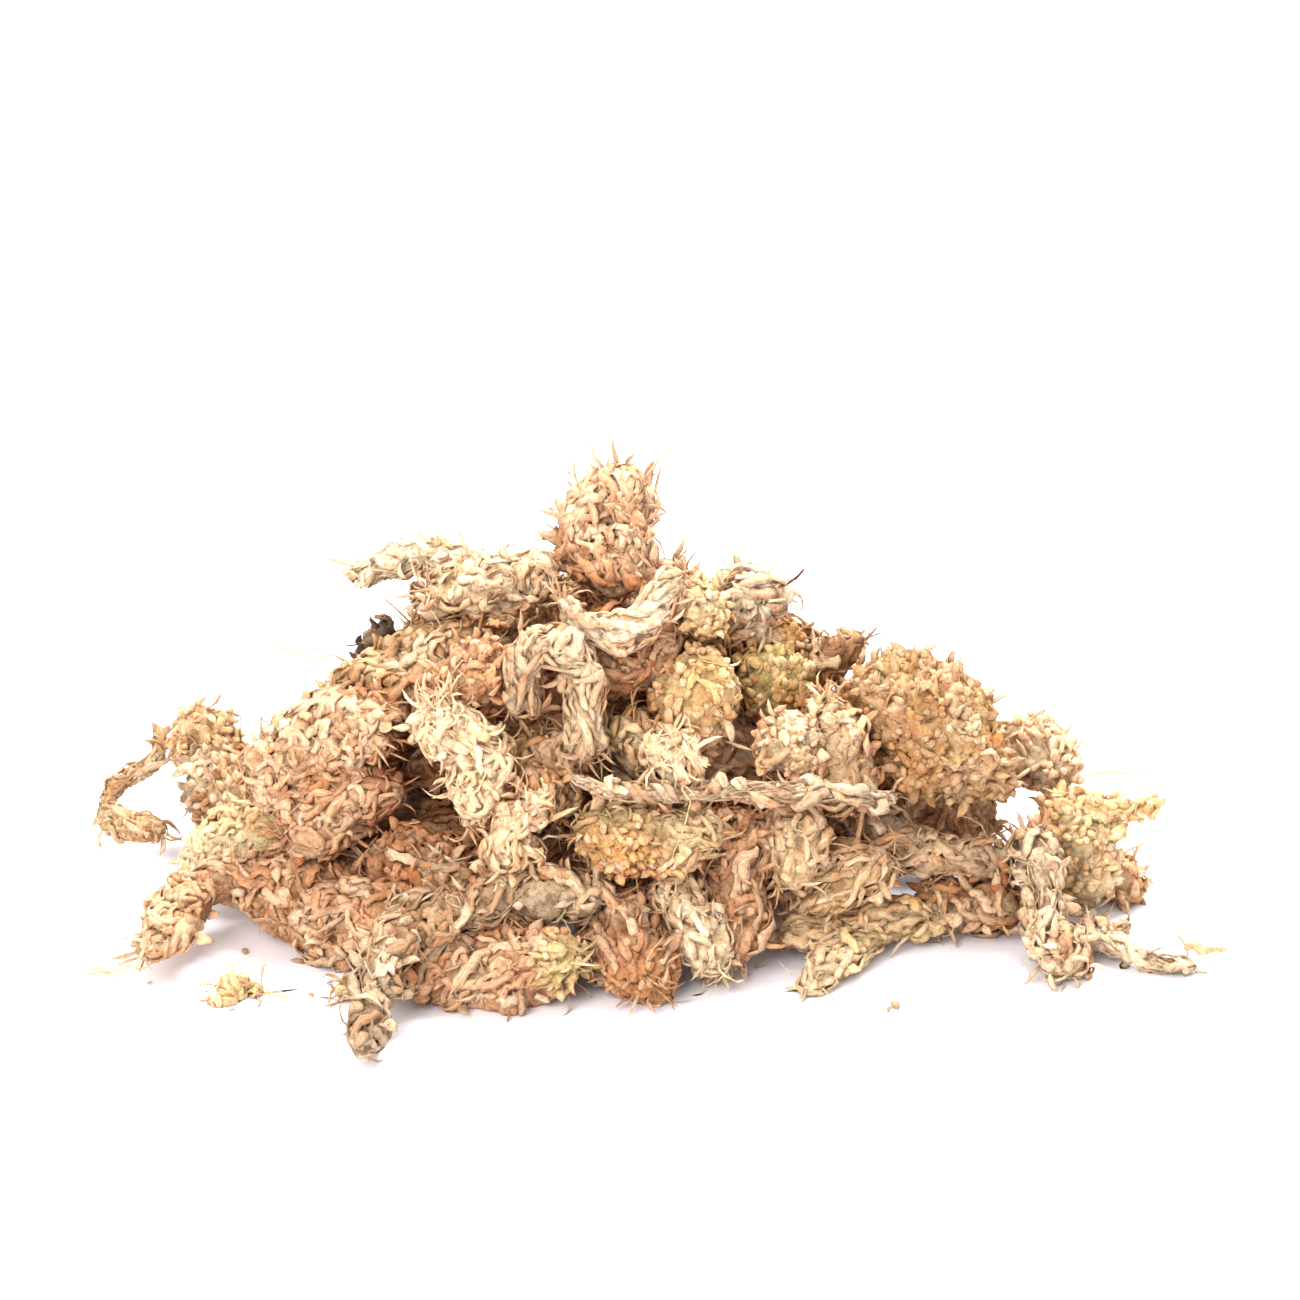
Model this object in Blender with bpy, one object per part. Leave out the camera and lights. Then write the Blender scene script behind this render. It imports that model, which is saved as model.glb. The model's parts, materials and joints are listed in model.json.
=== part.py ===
"""Sphagnum moss clump: dried leafy strands, heads and bare stems lying tangled in a low heap.

Each strand follows a hand-chosen route. The routes are first given room beside each other, the way
strands settle in a heap. Each strand is then a closed tube whose surface stands up in overlapping
leaf scales, and it is drawn in wherever it would meet a neighbour or the ground.
Routes, radii and spacings are in millimetres, and the meshes are in metres.
"""
import math
from collections import namedtuple

import bmesh
import bpy
import numpy as np
from mathutils.bvhtree import BVHTree

MM = 0.001
SEED = 41
TINY = 1e-6

# Room between strands
NEIGHBOUR_GAP = 0.3       # clear space between two strands
SKIN = 0.17               # how far each face stands out when crossings are looked for
SEATED = 0.62             # widest gap at which a strand counts as lying on its neighbour
SEAT_CLEARANCE = 0.4      # gap that is left when a strand is moved onto its neighbour
FAR_GAP = 12.0            # no neighbour is looked for beyond this gap
SEAT_ROUNDS = 14
FALLEN = "crumb"          # scraps with this name lie beside the heap by themselves

# How the routes are read and settle
CURVE_STEPS = 24          # points of the smooth curve between two points of a route
STEP_ALONG = 2.4          # spacing of the samples that settle
CROWDING = 0.76           # how much of its radius a strand keeps when it settles
FULLNESS = 1.22           # how far leaves make a strand thicker than its bundle of branches
BARE = ("stem", "stub", "tassel")
FLOOR_SHARE = 0.68        # height of an axis above the ground, as a share of its radius
SETTLE_ROUNDS = 260
LIST_ROUNDS = 10          # how often the list of close samples is made again
LIST_MARGIN = 9.0         # samples this far beyond touching are on the list
LOOP_RADII = 2.6          # a strand pushes itself apart only beyond this many radii along it
PUSH = 0.22               # share of the missing room that each sample gives way in one round
MOST_PUSH = 3.0
YIELD = (0.8, 1.25, 0.8)  # strands give way most in depth, where the heap has room
HOLD = 0.05               # pull back to the chosen route, which fades out as the heap settles
STRAIGHTEN_TURNS = 3
STRAIGHTEN = 0.35         # how fast a strand takes its own bend again
DRAW = 0.3                # how fast a strand that lies clear is drawn to its neighbour
MOST_DRAW = 2.0
BRANCH_DEPTH = 0.35       # how near its parent's axis a branch starts, as a share of the radius
BRANCH_PULL = 0.5
BRANCH_SHARE = 0.8        # how much of that pull the branch follows, its parent taking the rest

# How scales end at neighbours and on the ground
THINNEST = 0.30           # smallest share of its radius that a strand is drawn in to
CELL_TURNS = 8
CELL_REACH = 2.2          # how far from a strand its neighbours are looked for, in radii
BEND_SHARE = 0.8          # scales inside a bend end at this share of the way to its centre
CROSSING_TURNS = 90
DRAW_IN = 0.92            # a crossing face is drawn in to this share of its height at each turn
LEAST_OUT = 0.12
LEAST_BEYOND = 0.05
LOWEST_AXIS = 0.4         # no axis is taken nearer to the ground
PRESSED = 0.9             # how far the lowest scales are flattened by the ground

# How scales vary: shares of their spacing, width or radius
CAP_RINGS = 1.1           # length of a strand's rounded end, in ring spacings
POLE_SHARE = 0.3          # where the axis ends inside that cap
POLE_REACH = 0.7          # how far the end corner stands beyond it
ALONG_JITTER = 0.08
TIP_JITTER = 0.14
NOTCH_JITTER = 0.07
NOTCH_VARY = 0.4
TIP_HEIGHT = 1.04
WAVE_HEIGHT = 0.10        # slow swelling along a strand
WAVE_LENGTH = 3.1
OVALITY = 0.13
END_HEIGHT = 0.16         # squared height of the last ring, as a share of the radius

# How the leaves of each kind of strand stand: ring spacing and width of a scale in millimetres,
# depth of the notch between scales and lean of a tip towards the strand's end as shares,
# and the share by which scale lengths vary
Kind = namedtuple("Kind", "ring_step scale_width notch lean vary")
KINDS = {
    "rope": Kind(3.1, 3.8, 0.27, 0.70, 0.20),
    "head": Kind(2.8, 3.6, 0.25, 0.35, 0.16),
    "curls": Kind(3.2, 4.2, 0.36, 0.72, 0.28),
    "broom": Kind(4.6, 3.6, 0.27, 0.75, 0.24),
    "tassel": Kind(4.2, 3.0, 0.30, 0.75, 0.26),
    "flaky": Kind(3.2, 3.8, 0.36, 0.72, 0.28),
    "crust": Kind(3.2, 4.4, 0.17, 0.15, 0.16),
    "stem": Kind(3.4, 2.4, 0.14, 0.40, 0.12),
    "stub": Kind(3.0, 2.2, 0.08, 0.10, 0.06),
    "inner": Kind(5.6, 6.4, 0.20, 0.60, 0.14),
}
FEWEST_PAIRS = 3          # pairs of scales round the thinnest strand
MOST_PAIRS = 5

# Dry colours of the moss, as linear red, green and blue
COLOURS = {
    "cream": (0.83, 0.70, 0.48),
    "white_cream": (0.90, 0.80, 0.60),
    "yellow_cream": (0.80, 0.68, 0.38),
    "cream_grey": (0.66, 0.55, 0.39),
    "grey_cream": (0.70, 0.58, 0.40),
    "buff": (0.72, 0.54, 0.32),
    "straw": (0.74, 0.60, 0.34),
    "tan": (0.62, 0.43, 0.23),
    "tan_grey": (0.50, 0.38, 0.24),
    "pink_tan": (0.72, 0.50, 0.32),
    "pale_salmon": (0.70, 0.48, 0.30),
    "salmon": (0.62, 0.38, 0.22),
    "salmon_brown": (0.50, 0.27, 0.14),
    "brown": (0.42, 0.25, 0.13),
    "grey_brown": (0.34, 0.26, 0.16),
    "ochre": (0.60, 0.40, 0.18),
    "ochre_brown": (0.48, 0.28, 0.11),
    "olive_tan": (0.58, 0.46, 0.24),
    "olive_yellow": (0.60, 0.52, 0.23),
    "yellow_tan": (0.66, 0.50, 0.24),
    "wood": (0.28, 0.18, 0.10),
    "bark": (0.07, 0.04, 0.03),
}
ROUGHNESS = 0.85

# Every strand: node, colour, kind, radii along it, and its route from the root to the tip.
# Rows with the same node are branches that grew together.
STRANDS = (
    ("dark_tail", "grey_brown", "rope", (0.8, 2.4, 3.6, 3.9, 3, 2.2),
     ((-47, -65, 5), (-43, -49, 6), (-38, -35, 8), (-32, -31, 10), (-20, -29, 14), (-5, -28, 14))),
    ("salmon_rope", "salmon", "rope", (7.8, 8.5, 8.1, 7.2, 5.6),
     ((-69, -3, 10), (-61, -6, 8), (-52, -12, 8), (-43, -19, 8), (-35, -24, 7))),
    ("salmon_rope", "salmon", "tassel", (3.6, 3.4, 1.6),
     ((-68, -12, 6), (-62, -19, 4), (-57, -25, 1))),
    ("salmon_rope", "pale_salmon", "rope", (1.2, 3.2, 3.6, 3.2, 2.4),
     ((-87, -28, 1), (-85, -17, 3), (-80, -7, 5), (-74, 0, 4), (-68, 1, 2))),
    ("front_mass", "salmon", "rope", (4.5, 6.1, 6.3, 5),
     ((-41, -26, 4), (-32, -31, 6), (-24, -32, 7), (-17, -28, 8))),
    ("front_mass", "yellow_cream", "head", (3.4, 5.3, 4.1),
     ((-17, -36, 7), (-14, -38, 8), (-10, -37, 8))),
    ("brown_tail", "salmon_brown", "rope", (5.4, 6.6, 5.6, 1.6),
     ((-10, -21, 9), (-5, -26, 8), (-2, -32, 6), (-1, -39, 2))),
    ("cream_hook", "cream", "rope", (3.7, 4.8, 4, 2),
     ((3, -18, 17), (6, -24, 12), (9, -28, 8), (12, -32, 5))),
    ("red_tail", "salmon", "rope", (4, 4.6, 4.4, 3.2),
     ((13, -8, 26), (14, -15, 20), (14, -21, 11), (15, -27, 4))),
    ("buff_centre", "buff", "rope", (3.8, 4.8, 4.2),
     ((23, -6, 26), (22, -13, 20), (18, -18, 16))),
    ("broom", "tan", "broom", (4, 5.8, 6.2, 3.6),
     ((21, -11, 7), (29, -9, 11), (37, -6, 14), (43, -3, 18))),
    ("long_leaf", "straw", "broom", (2.6, 3.6, 3.4, 2),
     ((20, -17, 6), (31, -13, 5), (42, -10, 6), (53, -7, 3))),
    ("long_leaf", "straw", "tassel", (1.5, 1.8, 3.5, 2.6),
     ((47, -9, 6), (39, -10, 2), (32, -21, 3), (26, -31, 2))),
    ("low_stem", "cream_grey", "stem", (1.3, 2.2, 2.2),
     ((54, -5, 1), (60, 0, 2), (68, 1, 2))),
    ("flaky_stem", "cream_grey", "flaky", (2.2, 3, 3, 2.6),
     ((64, 1, 21), (68, -8, 17), (68, -16, 10), (68, -29, 2))),
    ("flaky_stem", "tan", "head", (2.4, 3.6, 2.2),
     ((71, -16, 7), (72, -22, 4), (72, -28, 2))),
    ("far_stem", "cream_grey", "stem", (2, 2.3, 2, 1.5, 1),
     ((74, -6, 2), (80, -11, 2), (87, -17, 2), (96, -19, 1), (101, -18, 1))),
    ("far_stem", "cream_grey", "stem", (1.1, 1.4, 1.2),
     ((82, -10, 1), (81, 0, 1), (83, 4, 1))),
    ("far_stem", "cream", "stem", (1.1, 1.6, 1.3),
     ((88, -15, 1), (85, -8, 1), (89, -2, 2))),
    ("curved_rope", "tan_grey", "flaky", (4, 4.5, 3.6, 3.6, 2.7),
     ((35, 2, 23), (42, -1, 19), (50, -5, 15), (58, -6, 15), (65, -3, 18))),
    ("dark_low_rope", "brown", "rope", (3.9, 4.9, 4.4, 2.9),
     ((46, -4, 9), (53, -5, 7), (60, -6, 5), (66, -8, 4))),
    ("crust_block", "ochre", "crust", (6.2, 9, 9.8, 9.6, 7.2),
     ((37, 13, 47), (42, 10, 42), (49, 7, 37), (56, 5, 31), (62, 4, 27))),
    ("crust_block", "brown", "crust", (3.6, 5.6, 4.6),
     ((42, 12, 29), (50, 10, 23), (60, 8, 20))),
    ("brown_arm", "brown", "rope", (2.6, 3.4, 3.2),
     ((25, 10, 45), (31, 10, 44), (38, 14, 46))),
    ("bud_cluster", "cream", "head", (2.5, 5.7, 5.7, 4.1),
     ((60, 23, 32), (64, 21, 31), (68, 19, 27), (66, 16, 23))),
    ("bud_cluster", "brown", "rope", (1.6, 3, 2.8),
     ((71, 23, 34), (74, 23, 28), (73, 20, 22))),
    ("pale_mass", "yellow_cream", "head", (4.3, 6.2, 6.6, 5.8, 3.8),
     ((63, 11, 21), (68, 9, 18), (70, 6, 13), (71, 5, 8), (69, 4, 4))),
    ("pale_mass", "cream", "stem", (1.8, 2, 1.6, 0.9),
     ((74, 9, 17), (77, 8, 23), (82, 6, 25), (87, 4, 27))),
    ("back_head", "ochre_brown", "head", (3.3, 4.8, 3.5),
     ((83, 15, 2), (87, 16, 4), (90, 19, 3))),
    ("mid_stem", "cream_grey", "stem", (1.2, 1.8, 1.9, 1.9, 1.7, 1.2),
     ((-17, -24, 40), (-8, -28, 36), (3, -29, 35), (17, -27, 36), (32, -22, 33), (42, -15, 31))),
    ("centre_head", "yellow_tan", "head", (5, 8.6, 8.8, 5.6),
     ((1, -2, 42), (5, -5, 45), (9, -5, 46), (13, -3, 44))),
    ("green_head", "olive_yellow", "head", (4.2, 6.2, 6, 4.6),
     ((16, 8, 48), (20, 6, 44), (24, 5, 40), (26, 3, 36))),
    ("curly_tuft", "cream", "curls", (3.6, 5.4, 4.4),
     ((-1, -15, 36), (4, -16, 38), (10, -15, 38))),
    ("shell_leaves", "olive_tan", "broom", (3.6, 5.2, 4.6),
     ((-8, -6, 41), (-3, -10, 38), (-1, -13, 33))),
    ("arch_strand", "grey_cream", "rope", (3.2, 3.4, 3, 2.8, 3, 3.4, 3.2),
     ((-21, -12, 39), (-22, -12, 48), (-19, -11, 54), (-15, -11, 57), (-11, -12, 53), (-12, -14, 45),
      (-15, -17, 38))),
    ("tan_column", "tan", "rope", (4.6, 6, 5.6),
     ((-14, -8, 38), (-20, -13, 33), (-21, -16, 26))),
    ("red_cluster", "salmon_brown", "head", (4.4, 6.8, 6.8, 4.4),
     ((-33, 2, 54), (-31, -2, 51), (-30, -5, 46), (-31, -7, 42))),
    ("left_shoulder", "tan", "rope", (4.2, 5.4, 5.6, 4.4),
     ((-28, 5, 58), (-38, 5, 52), (-48, 5, 46), (-57, 8, 38))),
    ("left_shoulder", "tan", "broom", (3.4, 4.4, 3.4),
     ((-43, 2, 49), (-45, -3, 44), (-46, -6, 39))),
    ("big_rope", "pale_salmon", "rope", (3.8, 5.8, 6.6, 6.2, 4.6),
     ((-42, -10, 41), (-50, -8, 39), (-58, -5, 34), (-63, -1, 26), (-62, 3, 18))),
    ("low_rope", "salmon", "rope", (3.6, 5.4, 5.6, 4.2),
     ((-44, -9, 34), (-51, -7, 29), (-57, -4, 23), (-62, 1, 15))),
    ("cream_leg", "cream", "rope", (1.6, 3.2, 3.8, 3.6, 2.4),
     ((-40, -17, 39), (-36, -18, 42), (-30, -21, 39), (-28, -23, 33), (-30, -24, 26))),
    ("cream_leg", "cream", "stem", (1, 1, 0.6),
     ((-35, -18, 42), (-36, -18, 44), (-36, -18, 47))),
    ("cream_twist", "cream", "curls", (3.2, 4.4, 4.6, 3.2),
     ((-18, -21, 33), (-19, -25, 28), (-22, -27, 22), (-19, -28, 17))),
    ("brown_lump", "salmon_brown", "rope", (3.6, 4.8, 4.8, 3.4),
     ((-46, -9, 28), (-44, -11, 23), (-45, -12, 18), (-49, -10, 13))),
    ("brown_lump", "salmon", "rope", (3, 4.2, 3.2),
     ((-39, -14, 20), (-32, -16, 17), (-26, -18, 16))),
    ("yellow_left", "straw", "rope", (2.4, 4.4, 5, 4.6),
     ((-84, 19, 2), (-77, 13, 10), (-68, 7, 15), (-61, 1, 20))),
    ("grey_curls", "grey_brown", "head", (3.2, 5.4, 5.4, 3.4),
     ((-83, 34, 21), (-79, 31, 18), (-74, 25, 14), (-69, 18, 12))),
    ("buff_cluster", "buff", "head", (3, 4.6, 4.4, 2.6),
     ((-87, 40, 21), (-83, 40, 21), (-79, 38, 22), (-75, 36, 21))),
    ("buff_cluster", "grey_brown", "stem", (1.2, 1.7, 1.9, 1.6),
     ((-76, 38, 28), (-76, 37, 24), (-75, 34, 17), (-73, 30, 11))),
    ("outer_twig", "buff", "stem", (0.9, 1.7, 1.9, 1.5, 1.9, 1.4),
     ((-98, 44, 19), (-97, 44, 16), (-95, 42, 13), (-100, 43, 9), (-105, 42, 6), (-106, 39, 2))),
    ("outer_twig", "brown", "head", (1.6, 3.2, 3.2, 2.6),
     ((-107, 28, 1), (-103, 22, 3), (-98, 20, 3), (-94, 19, 2))),
    ("top_tuft", "pink_tan", "rope", (3.4, 6, 6.2, 5.4, 3.8),
     ((-2, 15, 80), (-6, 14, 77), (-9, 12, 69), (-7, 8, 65), (-3, 3, 62))),
    ("white_v", "white_cream", "rope", (1.8, 2.2, 2.4, 2.2, 1.4),
     ((-14, -2, 66), (-12, -6, 61), (-7, -8, 59), (-2, -7, 61), (3, -3, 67))),
    ("top_left", "cream", "rope", (3.8, 5, 5, 3.6),
     ((-13, 8, 64), (-22, 8, 63), (-32, 8, 60), (-41, 10, 55))),
    ("top_left_pale", "white_cream", "flaky", (1.2, 2.4, 2.6, 2.8, 2.4),
     ((-54, 18, 60), (-50, 18, 60), (-43, 18, 62), (-35, 16, 62), (-26, 14, 64))),
    ("woody_stub", "wood", "stub", (2, 1.9),
     ((-41, 13, 53), (-42, 16, 60))),
    ("bark_bit", "bark", "stub", (1.2, 2.4, 1.6),
     ((-51, 20, 46), (-48, 20, 49), (-45, 20, 50))),
    ("top_right_buds", "yellow_cream", "head", (3, 4.8, 3.8),
     ((4, -1, 58), (7, 2, 60), (10, 6, 61))),
    ("top_right_pale", "white_cream", "flaky", (2.2, 2.6, 1.4),
     ((9, 14, 62), (15, 14, 61), (24, 14, 60))),
    ("top_right_pale", "buff", "rope", (2.4, 3, 2.4),
     ((15, 10, 60), (17, 9, 55), (20, 9, 49))),
    ("brown_top_head", "ochre_brown", "head", (3.4, 4.8, 3.4),
     ((21, 18, 53), (24, 17, 50), (25, 15, 47))),
    ("ragged_mid", "buff", "rope", (3.2, 4.4, 4, 2.6),
     ((27, 4, 42), (30, 0, 37), (33, -4, 31), (35, -6, 26))),
    ("mid_buff", "cream", "head", (4, 4.8, 3.6),
     ((18, -10, 39), (22, -11, 36), (26, -10, 30))),
    ("olive_low", "olive_tan", "rope", (4.2, 5.4, 5.2, 4),
     ((-12, -17, 27), (-4, -19, 25), (4, -20, 25), (10, -16, 27))),
    ("olive_low", "ochre", "head", (3.6, 5.6, 4.8),
     ((-12, -27, 24), (-8, -30, 22), (-4, -30, 19))),
    ("red_centre", "salmon_brown", "rope", (4.2, 6, 6, 4.6),
     ((-17, 4, 53), (-9, 1, 51), (-2, 0, 50), (5, 3, 51))),
    ("inner_low", "salmon_brown", "inner", (6, 9, 9, 9, 6),
     ((-56, 14, 8), (-34, 12, 9), (-12, 13, 9), (12, 12, 9), (36, 14, 8))),
    ("inner_low", "brown", "inner", (5, 8, 8, 5),
     ((-40, 0, 7), (-20, -2, 9), (2, -4, 9), (22, 1, 9))),
    ("inner_low", "brown", "inner", (5, 8, 8, 5.5),
     ((-40, 28, 7), (-16, 29, 8), (10, 29, 8), (32, 27, 7))),
    ("inner_high", "salmon_brown", "inner", (5, 8.6, 9, 8.6, 5),
     ((-48, 10, 25), (-26, 7, 28), (-4, 5, 29), (16, 8, 28), (34, 14, 24))),
    ("inner_high", "brown", "inner", (4.5, 7.6, 7.6, 4.5),
     ((-34, 24, 28), (-14, 24, 32), (6, 25, 32), (24, 24, 28))),
    ("inner_high", "salmon_brown", "inner", (4.5, 7.4, 7, 4.2),
     ((-28, 14, 44), (-12, 13, 46), (4, 14, 44), (16, 16, 38))),
    ("back_low_left", "salmon", "rope", (4, 6, 6.2, 5, 3),
     ((-64, 38, 6), (-46, 46, 5), (-28, 48, 7), (-12, 45, 10), (0, 50, 7))),
    ("back_low_left", "buff", "rope", (3.6, 4.6, 4, 2),
     ((-30, 44, 10), (-34, 52, 6), (-40, 60, 4), (-48, 66, 3))),
    ("back_low_right", "tan", "rope", (4, 6, 6.2, 5.2, 3),
     ((-6, 58, 4), (12, 53, 6), (30, 48, 6), (46, 40, 6), (60, 32, 5))),
    ("back_low_right", "straw", "rope", (3.4, 4.4, 3.6, 1.8),
     ((24, 46, 9), (32, 54, 6), (36, 61, 4), (34, 68, 3))),
    ("back_mid_left", "buff", "rope", (4.4, 6.4, 6.4, 4.6),
     ((-66, 24, 16), (-52, 31, 19), (-36, 36, 21), (-20, 38, 23))),
    ("back_mid_left", "pale_salmon", "rope", (4, 5, 4.6, 2.6),
     ((-40, 28, 32), (-42, 36, 24), (-50, 42, 16), (-58, 48, 10))),
    ("back_mid_right", "salmon", "rope", (4.4, 6.4, 6.4, 4.6),
     ((-14, 44, 16), (4, 40, 22), (22, 37, 24), (38, 31, 20))),
    ("back_mid_right", "cream", "rope", (3.6, 5.2, 5.4, 3.6),
     ((30, 34, 26), (42, 28, 24), (52, 23, 17), (60, 20, 12))),
    ("back_high_left", "tan", "rope", (4.2, 6.2, 6.2, 4.4),
     ((-52, 17, 38), (-38, 23, 42), (-22, 27, 44), (-6, 30, 43))),
    ("back_high_left", "grey_cream", "rope", (3.2, 4.4, 4.2, 2.4),
     ((-18, 23, 54), (-24, 31, 46), (-22, 38, 37), (-16, 42, 30))),
    ("back_high_left", "olive_tan", "head", (3.6, 5.4, 5.4, 3.6),
     ((-20, 20, 61), (-8, 22, 63), (4, 19, 61), (14, 18, 57))),
    ("back_high_right", "pale_salmon", "rope", (4, 6, 6, 4.2),
     ((-8, 23, 55), (6, 26, 50), (20, 27, 43), (32, 25, 36))),
    ("back_high_right", "straw", "rope", (3.2, 4.6, 4.4, 2.6),
     ((8, 24, 50), (10, 33, 42), (6, 40, 33), (10, 46, 26))),
    ("crumb_curl", "yellow_cream", "curls", (0.9, 1.7, 1.9, 1.2),
     ((-73, -36, 1), (-70, -32, 2), (-66, -30, 2), (-63, -32, 1))),
    ("crumb_sprig", "buff", "rope", (1, 2.4, 2.2, 1),
     ((-55, -35, 1), (-51, -30, 2), (-47, -29, 2), (-45, -33, 1))),
)


class Strand:
    """One strand: its route while it settles, then the scales on its surface."""

    def __init__(self, row):
        self.node, self.colour, self.kind, radii, route = row
        fullness = 1.0 if self.kind in BARE else FULLNESS
        self.guide, self.radius = sampled_route(np.array(route, float), fullness * np.array(radii))
        self.axis = self.guide.copy()
        self.parent = None


def is_fallen(name):
    """Whether a node is a scrap that lies beside the heap."""
    return name.startswith(FALLEN)


def sampled_route(route, radii):
    """Catmull-Rom curve through the route's points, read at even steps, with its radius there."""
    before = 2 * route[0] - route[1]
    after = 2 * route[-1] - route[-2]
    points = np.vstack((before, route, after))
    curve = []
    for index in range(len(route) - 1):
        a, b, c, d = points[index:index + 4]
        for t in np.linspace(0, 1, CURVE_STEPS, endpoint=False):
            curve.append(0.5 * (2 * b + (c - a) * t + (2 * a - 5 * b + 4 * c - d) * t ** 2
                                + (3 * b - a - 3 * c + d) * t ** 3))
    curve.append(route[-1])
    curve = np.array(curve)
    run = lengths_along(curve)
    count = max(4, int(round(run[-1] / STEP_ALONG)) + 1)
    samples = read_along(run, curve, np.linspace(0, run[-1], count))
    shares = np.linspace(0, 1, len(radii))
    return samples, np.interp(np.linspace(0, 1, count), shares, radii)


def lengths_along(points):
    """Distance run from the first point to each point."""
    steps = np.linalg.norm(np.diff(points, axis=0), axis=1)
    return np.concatenate(([0.0], np.cumsum(steps)))


def read_along(run, values, places):
    """Values of three columns at any places along a run."""
    return np.stack([np.interp(places, run, values[:, k]) for k in range(3)], axis=1)


def tie_branches(strands):
    """Each further branch of a node starts on the nearest point of the branches before it."""
    for index, strand in enumerate(strands):
        best = None
        for older in range(index):
            if strands[older].node != strand.node:
                continue
            spread = np.linalg.norm(strand.axis[:, None] - strands[older].axis[None], axis=2)
            here, there = np.unravel_index(np.argmin(spread), spread.shape)
            if best is None or spread[here, there] < best[0]:
                best = (spread[here, there], older, here, there)
        if best is not None:
            strand.parent = best[1:]


class Heap:
    """All samples of all strands in one list, for settling."""

    def __init__(self, strands):
        self.strands = strands
        names = [strand.node for strand in strands]
        self.names = names
        self.start = np.cumsum([0] + [len(strand.axis) for strand in strands])
        self.points = np.vstack([strand.axis for strand in strands])
        self.guide = self.points.copy()
        self.radius = np.concatenate([strand.radius for strand in strands])
        thin = self.radius < STEP_ALONG
        self.room = np.sqrt((CROWDING * self.radius) ** 2 + (STEP_ALONG / 2) ** 2 * thin)
        self.owner = np.repeat(np.arange(len(strands)), np.diff(self.start))
        self.node = np.array([names.index(name) for name in names])[self.owner]
        self.order = np.concatenate([np.arange(len(strand.axis)) for strand in strands])
        inside = np.ones(len(self.points), bool)
        inside[self.start[:-1]] = False
        inside[self.start[1:] - 1] = False
        self.middle = np.flatnonzero(inside)
        self.bend = self.guide[self.middle] - self.halfway(self.guide)

    def halfway(self, points):
        """Point halfway between the two neighbours of each inner sample."""
        return (points[self.middle - 1] + points[self.middle + 1]) / 2

    def close_pairs(self):
        """Pairs of samples, of different nodes or far apart on one strand, that are within reach."""
        spread = np.linalg.norm(self.points[:, None] - self.points[None], axis=2)
        apart = self.node[:, None] != self.node[None]
        along = np.abs(self.order[:, None] - self.order[None]) * STEP_ALONG
        loop = along > LOOP_RADII * (self.radius[:, None] + self.radius[None])
        apart |= (self.owner[:, None] == self.owner[None]) & loop
        close = spread < self.room[:, None] + self.room[None] + LIST_MARGIN
        return np.nonzero(np.triu(apart & close))

    def push_apart(self, one, two):
        """Moves close samples away from each other, and returns the space between them."""
        reach = self.room[one] + self.room[two] + NEIGHBOUR_GAP
        away = self.points[one] - self.points[two]
        spread = np.linalg.norm(away, axis=1) + TINY
        push = PUSH * np.clip(reach - spread, 0, MOST_PUSH) / spread
        move = push[:, None] * away * np.array(YIELD)
        for k in range(3):
            self.points[:, k] += np.bincount(one, move[:, k], len(self.points))
            self.points[:, k] -= np.bincount(two, move[:, k], len(self.points))
        return spread - reach

    def draw_to_neighbours(self, one, two, clear):
        """A node that lies clear of all the others is moved whole towards the nearest one."""
        across = self.node[one] != self.node[two]
        for name in np.unique(self.node):
            touching = np.flatnonzero(across & ((self.node[one] == name) | (self.node[two] == name)))
            if is_fallen(self.names[name]) or len(touching) == 0:
                continue
            best = touching[np.argmin(clear[touching])]
            if clear[best] <= 0:
                continue
            along = self.points[two[best]] - self.points[one[best]]
            if self.node[two[best]] == name:
                along = -along
            step = DRAW * min(clear[best], MOST_DRAW)
            self.points[self.node == name] += step * along / np.linalg.norm(along)

    def tie_ends(self):
        """Pulls a branch onto the place where it grew from its parent."""
        for index, strand in enumerate(self.strands):
            if strand.parent is None:
                continue
            older, here, there = strand.parent
            gap = self.points[self.start[older] + there] - self.points[self.start[index] + here]
            far = np.linalg.norm(gap)
            near = BRANCH_DEPTH * min(strand.radius[here], self.strands[older].radius[there])
            if far > near:
                shift = BRANCH_PULL * (far - near) * gap / far
                self.points[self.start[index]:self.start[index + 1]] += BRANCH_SHARE * shift
                self.points[self.start[older]:self.start[older + 1]] -= (1 - BRANCH_SHARE) * shift

    def straighten(self):
        """Lets each strand take its own bend again."""
        for _ in range(STRAIGHTEN_TURNS):
            goal = self.halfway(self.points) + self.bend
            self.points[self.middle] += STRAIGHTEN * (goal - self.points[self.middle])


def settle(strands):
    """Moves the routes apart until no strand crowds another, and keeps their shape and place."""
    heap = Heap(strands)
    for turn in range(SETTLE_ROUNDS):
        if turn % LIST_ROUNDS == 0:
            one, two = heap.close_pairs()
        clear = heap.push_apart(one, two)
        heap.points += HOLD * (1 - turn / SETTLE_ROUNDS) * (heap.guide - heap.points)
        heap.draw_to_neighbours(one, two, clear)
        heap.tie_ends()
        heap.straighten()
        heap.points[:, 2] = np.maximum(heap.points[:, 2], FLOOR_SHARE * heap.radius)
    for index, strand in enumerate(strands):
        strand.axis = heap.points[heap.start[index]:heap.start[index + 1]]


def frames_along(axis):
    """Tangent and two square directions at each sample, turned as little as possible."""
    tangent = np.gradient(axis, axis=0)
    tangent /= np.linalg.norm(tangent, axis=1)[:, None]
    side = np.cross(tangent[0], (0.0, 0.0, 1.0))
    if np.linalg.norm(side) < 0.2:
        side = np.cross(tangent[0], (1.0, 0.0, 0.0))
    sides = []
    for direction in tangent:
        side = side - direction * np.dot(side, direction)
        side = side / np.linalg.norm(side)
        sides.append(side)
    sides = np.array(sides)
    return tangent, sides, np.cross(tangent, sides)


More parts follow.
